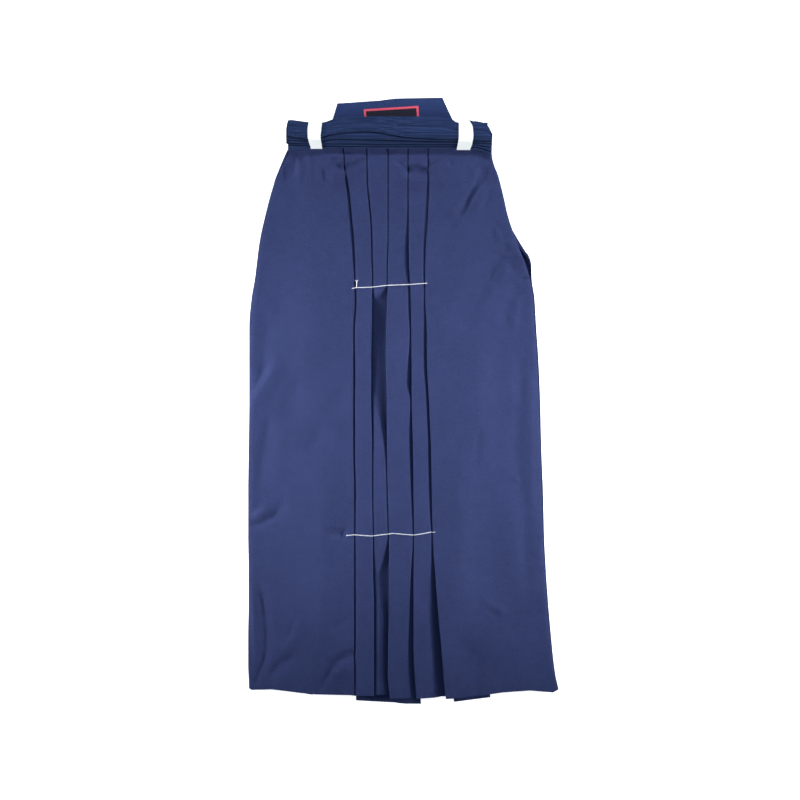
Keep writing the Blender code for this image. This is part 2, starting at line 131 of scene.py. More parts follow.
world = bpy.data.worlds.new("studio")
world.use_nodes = True
world.node_tree.nodes["Background"].inputs["Color"].default_value = (0.64, 0.84, 1, 1)
world.node_tree.nodes["Background"].inputs["Strength"].default_value = 0.31
bpy.context.scene.world = world
print("three soft boxes and a pale surround")

# %% [markdown]
# ## Shader maths
# Weave and borders are formulas. Written as nodes they are long, so this class lets a formula be written as an
# ordinary expression: each sign adds its Math node. One method adds any other kind of node.


# %% Shader maths
class Value:
    """A socket of a material's nodes that can stand in a sum."""

    def __init__(self, tree, socket):
        self.tree = tree
        self.socket = socket

    def math(self, operation, *values):
        return add_node(self.tree, "ShaderNodeMath", {"operation": operation}, dict(enumerate(values)))

    def __add__(self, other):
        return self.math("ADD", self, other)

    def __sub__(self, other):
        return self.math("SUBTRACT", self, other)

    def __rsub__(self, other):
        return self.math("SUBTRACT", other, self)

    def __mul__(self, other):
        return self.math("MULTIPLY", self, other)

    __radd__ = __add__
    __rmul__ = __mul__


def add_node(tree, kind, settings, inputs, output=0):
    """Any node: its settings come first, then the values or links of its sockets."""
    node = tree.nodes.new(kind)
    for name, value in settings.items():
        setattr(node, name, value)
    for key, value in inputs.items():
        if isinstance(value, Value):
            tree.links.new(value.socket, node.inputs[key])
        else:
            node.inputs[key].default_value = value
    return Value(tree, node.outputs[output])


def linear(*screen):
    """A screen colour, from 0 to 255, as light."""
    shares = [channel / 255 for channel in screen]
    return tuple(s / 12.92 if s <= 0.04045 else ((s + 0.055) / 1.055) ** 2.4 for s in shares)


def new_material(name, roughness, sheen=0.0, specular=0.5):
    """An empty finish: its tree, and a function that links a value to a socket of its shader."""
    material = bpy.data.materials.new(name)
    material.use_nodes = True
    shader = material.node_tree.nodes["Principled BSDF"]
    shader.inputs["Roughness"].default_value = roughness
    shader.inputs["Sheen Weight"].default_value = sheen
    shader.inputs["Sheen Roughness"].default_value = 0.45
    shader.inputs["Specular IOR Level"].default_value = specular

    def link(value, socket):
        material.node_tree.links.new(value.socket, shader.inputs[socket])

    return material, material.node_tree, link


print("shader maths is ready")

# %% [markdown]
# ## Cloth finishes
# The trousers are a matt navy twill: fine slanting ribs, a thread that is thicker here and there, and a colour that
# clouds a little over a hand's width. The ties are the same colour in a plain weave with thicker threads. Both
# follow the cloth's own map, laid out in metres when the pieces are made, so the ribs turn over with each fold.

# %% Cloth finishes
TURN = 2 * math.pi


def cloth_map(tree):
    """The two distances over the flat cloth, in metres: across it and along it."""
    flat = add_node(tree, "ShaderNodeUVMap", {"uv_map": "cloth"}, {})
    return flat, [add_node(tree, "ShaderNodeSeparateXYZ", {}, {0: flat}, which) for which in (0, 1)]


def clouds(tree, vector, scale, detail=3.0):
    return add_node(
        tree, "ShaderNodeTexNoise", {"noise_dimensions": "3D"},
        {"Vector": vector, "Scale": scale, "Detail": detail, "Roughness": 0.55},
    )


def stretched(tree, vector, scales):
    return add_node(tree, "ShaderNodeMapping", {}, {"Vector": vector, "Scale": scales})


def blend(tree, share, low, high):
    """A colour between two others."""
    return add_node(
        tree, "ShaderNodeMix", {"data_type": "RGBA", "clamp_factor": True},
        {0: share, **{key: end if isinstance(end, Value) else (*end, 1) for key, end in ((6, low), (7, high))}},
        2,
    )


def woven(name, dark, light, rib, plain, roughness, sheen, relief, mottled):
    """A woven finish. Rib is the distance between ribs or threads in millimetres; plain is for a plain weave.
    Mottled says how strongly the tone changes from one thread or pinch of cloth to the next."""
    material, tree, link = new_material(name, roughness, sheen, 0.2)
    flat, (u, v) = cloth_map(tree)
    turns = TURN / (rib * METRE)
    if plain:
        threads = (u * turns).math("SINE", u * turns) * (v * turns).math("SINE", v * turns)
    else:
        slant = (u + v * 0.62) * turns
        threads = slant.math("SINE", slant)
    along = 260.0 if plain else 45.0  # a plain weave has short slubs
    slubs = clouds(tree, stretched(tree, flat, (900.0, along, 1.0)), 1.0, 2.0)
    weft = clouds(tree, stretched(tree, flat, (60.0 + along, 1100.0, 1.0)), 1.0, 2.0)
    broad = clouds(tree, flat, 9.0, 3.0)
    small = clouds(tree, flat, 70.0, 4.0)
    fine = clouds(tree, flat, 330.0, 2.0)
    tone = broad * 0.45 + small * 0.4 + slubs * 0.3 + weft * 0.2 + threads * 0.07 + (fine - 0.5) * mottled - 0.18
    link(blend(tree, tone, dark, light), "Base Color")
    link(0.92 * roughness + slubs * 0.12, "Roughness")
    raised = threads * 0.5 + slubs * 0.9 + weft * 0.5
    link(add_node(tree, "ShaderNodeBump", {}, {"Strength": relief, "Distance": 0.00022, "Height": raised}), "Normal")
    return material


NAVY_DARK = linear(27, 37, 73)
NAVY_LIGHT = linear(48, 58, 104)
twill = woven("navy twill", NAVY_DARK, NAVY_LIGHT, 0.9, False, 0.85, 0.06, 0.5, 0.7)
tie_cloth = woven("navy tie cloth", linear(12, 28, 60), linear(36, 55, 98), 1.5, True, 0.9, 0.05, 1.0, 2.6)
board_cloth = woven("navy board cloth", linear(23, 39, 78), linear(44, 63, 113), 0.8, True, 0.8, 0.05, 0.5, 0.5)
print("finishes:", twill.name, "and", tie_cloth.name, "and", board_cloth.name)

# %% [markdown]
# ## Paper, label and thread
# The bands are plain white paper with a faint grain. The label on the board is woven: a dark field inside a red
# border, left without words. Its border is a distance from the label's edge, so it is worked out from the cloth
# map. The basting thread is white cotton, twisted, so it shows a slanting ply.

# %% Paper, label and thread
LABEL_WIDE, LABEL_HIGH, LABEL_BORDER = 96.0, 44.0, 3.8

paper, tree, link = new_material("white paper", 0.62)
flat, _ = cloth_map(tree)
grain = clouds(tree, flat, 900.0, 3.0)
link(blend(tree, grain, linear(236, 236, 232), linear(252, 252, 250)), "Base Color")
link(add_node(tree, "ShaderNodeBump", {}, {"Strength": 0.25, "Distance": 0.0001, "Height": grain}), "Normal")

label_weave, tree, link = new_material("label weave", 0.75, 0.0, 0.15)
flat, (u, v) = cloth_map(tree)
nearest = u.math("MINIMUM", u, LABEL_WIDE * METRE - u)
nearest = u.math("MINIMUM", nearest, v)
nearest = u.math("MINIMUM", nearest, LABEL_HIGH * METRE - v)
border = nearest.math("LESS_THAN", nearest, LABEL_BORDER * METRE)
ribs = u.math("SINE", u * (TURN / 0.0007)) * v.math("SINE", v * (TURN / 0.0009))
tone = clouds(tree, flat, 400.0, 2.0) * 0.7 + ribs * 0.2 + 0.1
field = blend(tree, tone, linear(25, 24, 36), linear(46, 44, 60))
red = blend(tree, tone, linear(196, 56, 78), linear(250, 112, 136))
link(blend(tree, border, field, red), "Base Color")
raised = ribs * 0.3 + border
link(add_node(tree, "ShaderNodeBump", {}, {"Strength": 0.5, "Distance": 0.0002, "Height": raised}), "Normal")

cotton, tree, link = new_material("white cotton thread", 0.75, 0.2)
flat, (u, v) = cloth_map(tree)
ply = (u + v * 2.0) * (TURN / 0.0016)
twist = ply.math("SINE", ply)
link(blend(tree, twist * 0.5 + 0.5, linear(196, 198, 210), linear(240, 240, 246)), "Base Color")
link(add_node(tree, "ShaderNodeBump", {}, {"Strength": 0.7, "Distance": 0.0002, "Height": twist}), "Normal")

navy_thread, tree, link = new_material("navy sewing thread", 0.6, 0.1)
where = add_node(tree, "ShaderNodeTexCoord", {}, {}, "Object")
link(blend(tree, clouds(tree, where, 900.0), linear(8, 12, 30), linear(22, 30, 60)), "Base Color")
print("finishes:", paper.name, label_weave.name, cotton.name, navy_thread.name)

# %% [markdown]
# ## The tools for cloth
# Each piece of cloth starts as a flat grid, one of Blender's primitives. Its points are then moved to rows of
# places, which a function works out for that piece, and each point keeps its distance over the flat cloth as a map
# for the weave. Solidify gives the sheet its thickness. A tie is a grid rolled into a tube and closed at its ends.

# %% The tools for cloth
ANGLE_OF_AN_EDGE = math.radians(50)


def roll(row):
    """The distance over the cloth to each place of a row, in millimetres."""
    run = [0.0]
    for before, after in zip(row, row[1:]):
        run.append(run[-1] + math.dist(before, after))
    return run


def lattice(rows, wrap=False, origin=0):
    """A grid moved to the rows, each a list of (across, down, up), with its flat map measured from one column."""
    count = len(rows[0]) if wrap else len(rows[0]) - 1
    mesh = bmesh.new()
    bmesh.ops.create_grid(mesh, x_segments=count, y_segments=len(rows) - 1, size=1)
    runs = [roll([*row, row[0]] if wrap else row) for row in rows]
    spots = {}
    for vert in mesh.verts:
        column = round((vert.co.x + 1) / 2 * count)
        row = round((1 - vert.co.y) / 2 * (len(rows) - 1))
        spots[vert] = (column, row)
        vert.co = place(*rows[row][column % len(rows[0])])
    flat = mesh.loops.layers.uv.new("cloth")
    for face in mesh.faces:
        for loop in face.loops:
            column, row = spots[loop.vert]
            along_cloth = rows[row][column % len(rows[0])][1]
            loop[flat].uv = ((runs[row][column] - runs[row][origin]) * METRE, along_cloth * METRE)
    if wrap:
        bmesh.ops.remove_doubles(mesh, verts=mesh.verts, dist=1e-7)
    return mesh


def finished(name, mesh, material, node=None, thick=None):
    """Makes the mesh a piece: thickens it, shades it and seats it on the garment."""
    data = bpy.data.meshes.new(name)
    mesh.to_mesh(data)
    mesh.free()
    piece = bpy.data.objects.new(name, data)
    bpy.context.scene.collection.objects.link(piece)
    if thick:
        wall = piece.modifiers.new("thickness", "SOLIDIFY")
        wall.thickness = thick * METRE
        wall.offset = 0
        wall.use_even_offset = True
        graph = bpy.context.evaluated_depsgraph_get()
        data = bpy.data.meshes.new_from_object(piece.evaluated_get(graph))
        piece.modifiers.clear()
        piece.data = data
    data.materials.clear()
    data.materials.append(material)
    data.shade_smooth()
    data.set_sharp_from_angle(angle=ANGLE_OF_AN_EDGE)
    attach(piece, "root")
    if node:
        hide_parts(*([node] if isinstance(node, str) else node))
    return piece


def closed_tube(rings):
    """A tube through rings of places, closed at both ends."""
    mesh = lattice(rings, wrap=True)
    bmesh.ops.edgeloop_fill(mesh, edges=[edge for edge in mesh.edges if edge.is_boundary])
    bmesh.ops.recalc_face_normals(mesh, faces=mesh.faces)
    return mesh


def flat_size(rows):
    """The cut of a sheet from its rows: its width, its length and its area, in metres."""
    area = 0.0
    for first, second in zip(rows, rows[1:]):
        for a, b, c, d in zip(first, first[1:], second, second[1:]):
            area += (math.dist(a, b) + math.dist(c, d)) / 2 * (math.dist(a, c) + math.dist(b, d)) / 2
    width = max(roll(row)[-1] for row in rows) * METRE
    length = max(roll(column)[-1] for column in zip(*rows)) * METRE
    return width, length, area * METRE * METRE


def sheet(piece, rows):
    width, length, area = flat_size(rows)
    print(piece.name, "cut", round(width * 1000), "by", round(length * 1000), "mm")


# %% [markdown]
# ## The lines of the garment
# One table holds the garment's lines from the waist to the hem: the side edges and the five pleat folds. A second
# one says how far each fold stands up off the strip beside it. The basting threads hold the folds down at two
# heights, and between them the pleats gape. A smooth curve runs through each column.

# %% The lines of the garment
LINE_NAMES = (
    "down", "back_left", "front_left", "fold_1", "fold_2", "fold_3", "fold_4", "fold_5", "front_right", "back_right",
)
LINES = (
    (0, -203, -197, -106, -65, -25.5, 9.5, 44.5, 154, 140),
    (20, -212, -207, -105, -65, -25.5, 9.5, 45, 157, 145),
    (45, -222, -222, -103, -65, -25.5, 9.5, 45.5, 166, 155),
    (80, -233, -232, -98.5, -62.5, -25.5, 9.5, 44.5, 175, 166),
    (115, -242, -241, -95.5, -59, -25.5, 9.5, 43.5, 183, 178),
    (150, -250, -249, -92, -57, -25.5, 9.5, 41, 194.5, 197),
    (175, -254, -253, -90, -56.5, -26, 9.5, 39, 203.5, 212),
    (188, -255.5, -254.5, -89, -56.2, -26.5, 9.8, 38.8, 209, 221),
    (200, -257, -256, -88, -56, -27, 10, 38.5, 213.5, 224),
    (225, -260, -259, -86.5, -55, -27, 11.5, 38.5, 221, 225),
    (260, -266, -265, -85.5, -55, -28, 13, 38.5, 227, 230),
    (310, -270, -269, -88, -55.5, -29.5, 14, 41, 230, 233),
    (370, -270, -269, -88, -56.5, -30.5, 14.5, 41.5, 234, 237),
    (440, -270, -269, -88, -56.5, -28.5, 15, 45, 237, 240),
    (520, -271, -270, -88, -55, -28.5, 17, 48.5, 239.5, 242),
    (600, -272, -271, -86.5, -55, -27, 18, 50, 242, 245),
    (680, -272, -271, -86.5, -53.5, -25, 19, 52, 244.5, 247),
    (740, -271, -270, -86.5, -53, -25, 18, 56, 248, 250),
    (800, -271, -270, -86.5, -51.5, -25, 18, 61, 252, 254),
    (860, -272, -271, -86.5, -51.5, -26.5, 18, 66.5, 258, 259),
    (910, -272, -271, -86.5, -51.5, -27, 20, 70.5, 264, 264),
    (950, -270, -270, -86.5, -51.5, -23, 23.5, 74.5, 272, 270),
)
GAPE_NAMES = ("down", "fold_1", "fold_2", "fold_3", "fold_4", "fold_5")
GAPES = (
    (0, 0, 0, 0, 0, 0),
    (30, 0.6, 0.5, 0.1, 0.3, 1.6),
    (60, 1.6, 0.6, 0.1, 0.3, 2.0),
    (100, 2.3, 0.8, 0.1, 0.4, 2.1),
    (140, 2.3, 0.9, 0.1, 1.6, 2.0),
    (180, 1.9, 0.8, 0.1, 3.0, 1.6),
    (215, 1.0, 0.6, 0.1, 2.8, 1.4),
    (238, 0.6, 0.3, 0, 1.4, 0.6),
    (252, 1.2, 1.2, 4.5, 1.8, 0.5),
    (280, 1.3, 3.0, 8.6, 2.1, 1.2),
    (320, 0.8, 3.4, 9.8, 1.0, 2.4),
    (370, 1.3, 2.4, 9.4, 3.4, 2.8),
    (410, 1.5, 1.8, 8.6, 4.8, 2.4),
    (440, 1.3, 1.4, 7.0, 1.0, 2.0),
    (500, 1.1, 1.0, 2.4, 3.0, 2.2),
    (560, 0.9, 0.5, 0.4, 2.4, 2.2),
    (630, 0.8, 0.3, 0.3, 1.2, 1.6),
    (674, 0.3, 0.2, 0, 0.3, 0.5),
    (700, 0.6, 0.5, 3.4, 0.8, 1.2),
    (760, 0.8, 1.2, 5.4, 2.8, 4.6),
    (820, 0.9, 1.6, 5.2, 4.2, 7.4),
    (880, 0.9, 1.8, 5.4, 5.0, 9.0),
    (950, 1.0, 1.8, 5.4, 5.4, 9.4),
)


def curve(points, spot):
    """A smooth curve through points (spot, value) that doesn't swing past them."""
    if spot <= points[0][0]:
        return points[0][1]
    if spot >= points[-1][0]:
        return points[-1][1]
    index = next(i for i in range(len(points) - 1) if points[i + 1][0] >= spot)
    slopes = [(b[1] - a[1]) / (b[0] - a[0]) for a, b in zip(points, points[1:])]

    def lean(at):
        if at == 0 or at == len(points) - 1:
            return slopes[0] if at == 0 else slopes[-1]
        before, after = slopes[at - 1], slopes[at]
        return 0.0 if before * after <= 0 else 2 * before * after / (before + after)

    (x0, y0), (x1, y1) = points[index], points[index + 1]
    wide = x1 - x0
    t = (spot - x0) / wide
    rise = (2 * t**3 - 3 * t**2 + 1) * y0 + (3 * t**2 - 2 * t**3) * y1
    return rise + wide * ((t**3 - 2 * t**2 + t) * lean(index) + (t**3 - t**2) * lean(index + 1))


def columns_of(names, table):
    return {name: [(row[0], row[at]) for row in table] for at, name in enumerate(names)}


LIFTED = 0.7  # the cloth's own gapes, as a share of the table's, which is drawn by the shadows
LINE = columns_of(LINE_NAMES, LINES)
GAPE = columns_of(GAPE_NAMES, GAPES)


def line(name, down):
    return curve(LINE[name], down)


def gape(name, down):
    return LIFTED * curve(GAPE[name], down)


def straight(points, spot):
    """Straight lines through points (spot, value)."""
    before = points[0]
    for point in points:
        if point[0] >= spot:
            if point[0] == before[0]:
                return point[1]
            return before[1] + (point[1] - before[1]) * max(spot - before[0], 0) / (point[0] - before[0])
        before = point
    return points[-1][1]


print("the hem is", line("front_right", LENGTH) - line("front_left", LENGTH), "mm wide")

# %% [markdown]
# ## Creases
# Laid cloth is never flat. A table holds the creases that show, each from one place to another, with
# its half width and its depth: a trough is negative and a ridge is positive. Low light shows a crease by its outer
# wall, so the table follows that wall: the crease's middle lies further in, and its inner side is broad and faint.
# The curved troughs under the belt come from the ties' weight. A slow noise adds the soft rises between them. Both
# lift or sink all layers together.

# %% Creases
# each row: from across, from down, to across, to down, half width, depth
CREASES = (
    # the ties press the cloth down along the waist
    (-205, 4, -160, 3, 4, -1.5),
    (-160, 1, 118, 1, 3, -0.7),
    (118, 4, 156, 6, 3.5, -1.6),
    # under the ties, on the left: the side's trough, the gathers and the curved trough
    (-199, 4, -215, 56, 8, -3.0),
    (-188, 8, -186, 50, 6, 1.1),
    (-184, 12, -176, 30, 3.5, -1.1),
    (-172, 10, -160, 30, 4, 1.1),
    (-168, 24, -170, 58, 4, 0.9),
    (-154, 34, -154, 60, 4, 0.9),
    (-200, 66, -193, 108, 8, -0.9),
    (-143, 36, -136, 62, 4, -0.7),
    (-128, 14, -116, 26, 5, -1.7),
    (-116, 26, -92, 26, 5, -2.1),
    (-92, 26, -68, 14, 5, -1.7),
    (-126, 4, -100, 10, 5, 0.9),
    (-126, 38, -90, 40, 9, 1.0),
    # the curved trough on the right
    (-16, 22, 4, 32, 5, -1.7),
    (4, 32, 24, 29, 5, -1.9),
    (24, 29, 42, 34, 5, -2.0),
    (42, 34, 58, 25, 5, -1.7),
    (58, 25, 78, 11, 5, -1.2),
    (-6, 44, 40, 48, 9, 0.9),
    # the gathers at the right end of the ties
    (127, 10, 129, 22, 2.6, -1.4),
    (134, 10, 136, 26, 2.6, -1.5),
    (141, 12, 143, 24, 2.6, -1.3),
    (131, 12, 132, 26, 2.6, 0.9),
    (138, 12, 140, 28, 2.6, 0.9),
    (91, 20, 86, 30, 4, -1.1),
    # the long slanting trough below them, and its neighbours
    (154, 22, 141, 56, 6, -1.9),
    (141, 56, 124, 84, 7, -2.1),
    (124, 84, 104, 120, 8, -1.8),
    (104, 120, 80, 164, 9, -1.2),
    (80, 164, 56, 208, 10, -0.7),
    (122, 42, 112, 66, 5, -1.3),
    (161, 42, 150, 64, 5, -1.3),
    (130, 40, 112, 78, 5, 1.2),
    (112, 78, 92, 118, 7, 1.0),
    (150, 72, 132, 104, 7, 1.1),
    (70, 72, 52, 94, 9, -0.9),
    # small dents by the open side
    (161, 124, 168, 132, 4, -0.8),
    (158, 138, 165, 149, 4, -1.0),
    (182, 166, 189, 174, 4, -1.0),
    (166, 140, 176, 158, 5, 0.8),
    # the trough that runs down from the foot of the open side
    (206, 187, 184, 194, 6, -3.2),
    (184, 194, 174, 203, 7, -3.0),
    (174, 203, 150, 234, 10, -2.4),
    (150, 234, 130, 272, 12, -1.7),
    (130, 272, 112, 320, 16, -1.0),
    (190, 212, 172, 226, 6, 1.2),
    (206, 226, 221, 220, 3, -1.3),
    (209, 240, 196, 258, 7, -0.5),
    (196, 258, 186, 300, 8, -0.4),
    (204, 262, 200, 310, 7, 0.4),
    (182, 288, 189, 308, 5, -0.4),
    # soft lines inside the right side
    (213, 370, 212, 450, 7, -0.5),
    (210, 470, 203, 545, 8, -0.4),
    (206, 550, 218, 620, 8, -0.3),
    (218, 620, 224, 760, 8, -0.35),
    (226, 400, 230, 640, 7, 0.35),
    (136, 494, 133, 555, 4, -0.3),
    (112, 578, 110, 606, 4, -0.25),
    (86, 568, 86, 575, 2, -1.0),
    # a crease and its ridge low on the right
    (140, 785, 161, 801, 4, 0.4),
    (161, 801, 182, 806, 4, 0.35),
    (142, 793, 166, 808, 4, -0.35),
    (192, 571, 203, 575, 3, 0.7),
    # broad folds that slant across the left panel
    (-226, 256, -222, 284, 12, -0.6),
    (-242, 296, -248, 330, 11, -0.6),
    (-248, 330, -257, 390, 9, -0.7),
    (-229, 373, -266, 436, 10, 1.9),
    (-188, 398, -218, 462, 12, -0.5),
    (-112, 414, -138, 462, 12, -0.9),
    (-240, 470, -250, 520, 9, -1.0),
    (-250, 520, -257, 580, 9, -0.9),
    (-150, 490, -170, 518, 8, -0.8),
    # the pinch at the left side
    (-270, 655, -250, 650, 3.5, -2.0),
    (-250, 650, -232, 638, 5, -1.7),
    (-232, 638, -217, 618, 7, -1.2),
    (-262, 636, -240, 626, 5, 1.1),
    # where the lower thread pulls
    (-130, 664, -102, 666, 5, -0.9),
    (-112, 676, -104, 680, 7, -1.0),
    # the lower left side folds over
    (-258, 766, -247, 822, 6, -1.6),
    (-247, 822, -246, 876, 6, -1.9),
    (-246, 876, -256, 908, 5, -1.9),
    (-256, 908, -264, 936, 4, -2.0),
    (-266, 780, -262, 900, 4, 1.4),
    (-186, 822, -194, 850, 6, 1.1),
    (-194, 850, -218, 878, 7, 1.2),
    (-198, 884, -226, 902, 6, -1.4),
    (-226, 902, -240, 924, 6, -1.2),
    (-128, 836, -124, 842, 12, -0.9),
    (-88, 876, -110, 884, 6, -1.0),
    (-110, 884, -128, 898, 6, -1.2),
    (-128, 898, -142, 926, 5, -1.5),
    (-142, 926, -149, 944, 4, -1.9),
    (-104, 896, -122, 916, 8, 0.9),
    # long soft rises
    (-178, 240, -186, 380, 24, 0.8),
    (-150, 560, -158, 860, 24, 0.7),
    (150, 330, 156, 560, 28, 0.8),
    (110, 520, 118, 820, 22, 0.6),
    (168, 640, 176, 760, 26, -0.6),
    (110, 860, 150, 900, 20, -0.6),
)
DEEPER = 3.4  # all creases, as they show under soft light
DEEPER_RIGHT, DEEPER_LEVEL = 1.5, 2.0  # more on the right, and for a crease that runs across
PUSHED = 0.3  # the height of the rim above a curved trough, as a share of the trough's depth
STEEPEST, STEEPEST_LEVEL = 0.5, 0.9  # the most that a crease sinks or rises, as a share of its half width
SHOULDERS = 0.5  # the low ridge on each side of a trough
END_FADE = 0.55  # how much of a crease's height is gone at its ends
LOWEST = -0.4  # how far the cloth can sink into the layers under it
WIDER, BROAD_SIDE = 1.2, 1.9  # the half width of the outer side and of the inner side
INWARD = 0.62  # the table follows a crease's dark or bright wall, which lies this far out from its middle


def drawn_crease(x0, y0, x1, y1, wide, depth, turned=1):
    """A crease's start, its run, its outward direction, its half width and its height."""
    run_x, run_y = x1 - x0, y1 - y0
    long = math.hypot(run_x, run_y)
    out_x, out_y = -run_y / long, run_x / long
    level = abs(run_y) < 0.5 * abs(run_x)
    if (out_y > 0 if level else out_x * (x0 + x1) < 0):
        out_x, out_y = -out_x, -out_y
    out_x, out_y = turned * out_x, turned * out_y
    wide *= WIDER
    depth *= DEEPER * (DEEPER_LEVEL if level else DEEPER_RIGHT if x0 > 60 else 1)
    cap = (STEEPEST_LEVEL if level else STEEPEST) * wide
    x0, y0 = x0 - INWARD * wide * out_x, y0 - INWARD * wide * out_y
    return x0, y0, run_x / long, run_y / long, long, out_x, out_y, wide, cap * math.tanh(depth / cap)


DRAWN = [drawn_crease(*row) for row in CREASES]
# under the belt the cloth is pushed up above each curved trough, so its upper wall is a step
DRAWN += [drawn_crease(*row[:5], -PUSHED * row[5], -1) for row in CREASES if 10 < row[1] < 40 and row[4] == 5]


def crease_height(across, down):
    total = 0.0
    for x0, y0, run_x, run_y, long, out_x, out_y, wide, high in DRAWN:
        off_x, off_y = across - x0, down - y0
        outward = off_x * out_x + off_y * out_y
        reach = 3 * wide
        if outward > reach or outward < -BROAD_SIDE * reach:
            continue
        along = off_x * run_x + off_y * run_y
        beyond = max(-along, along - long, 0.0)
        if beyond > reach:
            continue
        side = outward if outward > 0 else outward / BROAD_SIDE
        near = (side * side + beyond * beyond) / (wide * wide)
        if near < 9:
            fade = 1 - END_FADE * abs(2 * min(max(along / long, 0.0), 1.0) - 1) ** 3
            total += high * fade * math.exp(-near) * (1 - SHOULDERS * near)
    return total


def swell(across, down):
    """Soft rises over a hand's width and over a finger's. Below the waist seam the cloth lies a little proud."""
    broad = noise.noise((across / 150, down / 190, 3.7))
    small = noise.noise((across / 46, down / 70, 9.1))
    tiny = noise.noise((across / 19, down / 26, 2.2))
    return 0.7 + 2.9 * smooth(down / 60) + 1.0 * broad + 0.5 * small + 0.17 * tiny


def relief(across, down):
    """How far creases and rises lift all layers at a place."""
    return max(crease_height(across, down) + swell(across, down), LOWEST)


print(len(CREASES), "creases")

# %% [markdown]
# ## Folding the fronts
# Each front is one width of cloth. From its side it runs flat to the first fold, turns under, turns back, and comes
# out as the next strip. A fold is half a circle between two layers. A short table lists the places that the cloth
# passes, and one function turns the table into the cloth's section at any height.

# %% Folding the fronts
TURN_STEPS = 6
DEEP_TUCK = 40.0  # the depth of an outer pleat
TUCK = 0.55  # an inner pleat's depth, as a share of the strip that lies on it
CLEAR = 3.0  # a strip is level this far past the pleat under it
SLOPE = 80.0  # a side panel falls from its pleat to the back over this width
PUFF = 2.0  # and bulges this much on the way
EDGE_REACH = 60.0  # a side panel lifts with its fold over this width
RIM_HIGH, RIM_WIDE, RIM_TAIL = 1.3, 9.0, 14.0  # the rounded side edge, and how far in it fades
SIDE_COLUMNS = 56
TRENCH = 0.8  # the deepest place of a crevice, from the fold beside it
SHOULDER = 3.6  # where the next strip has come up again
SPREAD = 1.6  # a strip sinks this much earlier for each millimetre that the fold over it gapes
GROUND = 1.1  # and lies this wide on the crevice's floor
SUNK = 2.9  # the layer of a crevice
# how far the strip left of the middle fold sinks to the left, as a share of its width
OPEN = (
    (238, 0), (250, 0.25), (262, 0.7), (272, 1), (300, 1), (330, 0.86), (392, 0.84), (440, 0.6), (480, 0.4),
    (530, 0.08), (560, 0), (690, 0), (715, 0.25), (745, 0.8), (790, 0.5), (830, 0.32), (950, 0.25),
)
LEFT_HEM = ((-270, 943), (-266, 946), (-230, 945), (-181, 951), (-155, 953.5), (-86.5, 955))
RIGHT_HEM = ((72, 961), (88, 960.5), (152, 953.5), (173, 950.5), (222, 947), (262, 950.5), (272, 945))


def left_pleats(down):
    """The places that the left front's cloth passes at one height: across, layer, lift, hem and steps to it. Two
    places at the same distance across are a fold."""
    one, two, three, four = (line(name, down) for name in ("fold_1", "fold_2", "fold_3", "fold_4"))
    lift_1, lift_2, lift_3 = (gape(name, down) for name in ("fold_1", "fold_2", "fold_3"))
    tuck = TUCK * (two - one)
    opened = curve(OPEN, down)
    start = three - SHOULDER - SPREAD * 0.5 * lift_3
    start += (two + SHOULDER + 1.5 - start) * opened
    low = SUNK - 1.1 * opened
    return (
        (one, 5, lift_1, 955, 0),
        (one, 4, lift_1, 955, 0),
        (one - DEEP_TUCK, 4, 0.15 * lift_1, 951, 8),
        (one - DEEP_TUCK, 3, 0.15 * lift_1, 951, 0),
        (one + TRENCH, SUNK, 0, 956, 8),
        (one + TRENCH + 0.1 + GROUND * lift_1, SUNK, 0, 956, 3),
        (one + SHOULDER + SPREAD * lift_1, 4.9, 0.15 * lift_2, 956, 6),
        (two - tuck - CLEAR, 5.1, 0.3 * lift_2, 956, 6),
        (two, 5, lift_2, 956, 10),
        (two, 4, lift_2, 956, 0),
        (two - tuck, 4, 0.3 * lift_2, 952, 6),
        (two - tuck, 3, 0.2 * lift_2, 952, 0),
        (two + TRENCH, SUNK, 0, 954, 8),
        (min(two + SHOULDER + 0.4 * SPREAD * lift_2, start - 0.3), 4.9 - 1.1 * opened, 0, 954, 6),
        (start, 5 - 1.4 * opened, 0, 954, 5),
        (three - TRENCH, low, 0, 954, 12),
        (three + TUCK * (four - three), low, 0, 954, 6),
    )


def right_pleats(down):
    """The same for the right front."""
    three, four, five = (line(name, down) for name in ("fold_3", "fold_4", "fold_5"))
    lift_3, lift_4, lift_5 = (gape(name, down) for name in ("fold_3", "fold_4", "fold_5"))
    first_tuck, last_tuck = TUCK * (five - four), TUCK * (four - three)
    return (
        (five, 5, lift_5, 961, 0),
        (five, 4, lift_5, 961, 0),
        (five + DEEP_TUCK, 4, 0.15 * lift_5, 955, 8),
        (five + DEEP_TUCK, 3, 0.15 * lift_5, 955, 0),
        (five - TRENCH, SUNK, 0, 957, 8),
        (five - TRENCH - 0.1 - GROUND * lift_5, SUNK, 0, 957, 4),
        (max(five - SHOULDER - SPREAD * lift_5, four + first_tuck + 4), 5, 0.15 * lift_4, 958, 8),
        (four + first_tuck + CLEAR, 5.1, 0.32 * lift_4, 959, 6),
        (four, 5, lift_4, 961, 10),
        (four, 4, lift_4, 961, 0),
        (four + first_tuck, 4, 0.32 * lift_4, 956, 6),
        (four + first_tuck, 3, 0.2 * lift_4, 956, 0),
        (four - TRENCH, SUNK, 0, 958, 8),
        (four - TRENCH - 0.1 - GROUND * lift_4, SUNK, 0, 958, 4),
        (max(four - SHOULDER - SPREAD * lift_4, three + last_tuck + 4), 5, 0.15 * lift_3, 959, 8),
        (three + last_tuck + CLEAR, 5.1, 0.36 * lift_3, 960, 6),
        (three, 5, lift_3, 961, 12),
        (three, 4, lift_3, 961, 0),
        (three + last_tuck, 4, 0.36 * lift_3, 955, 8),
    )


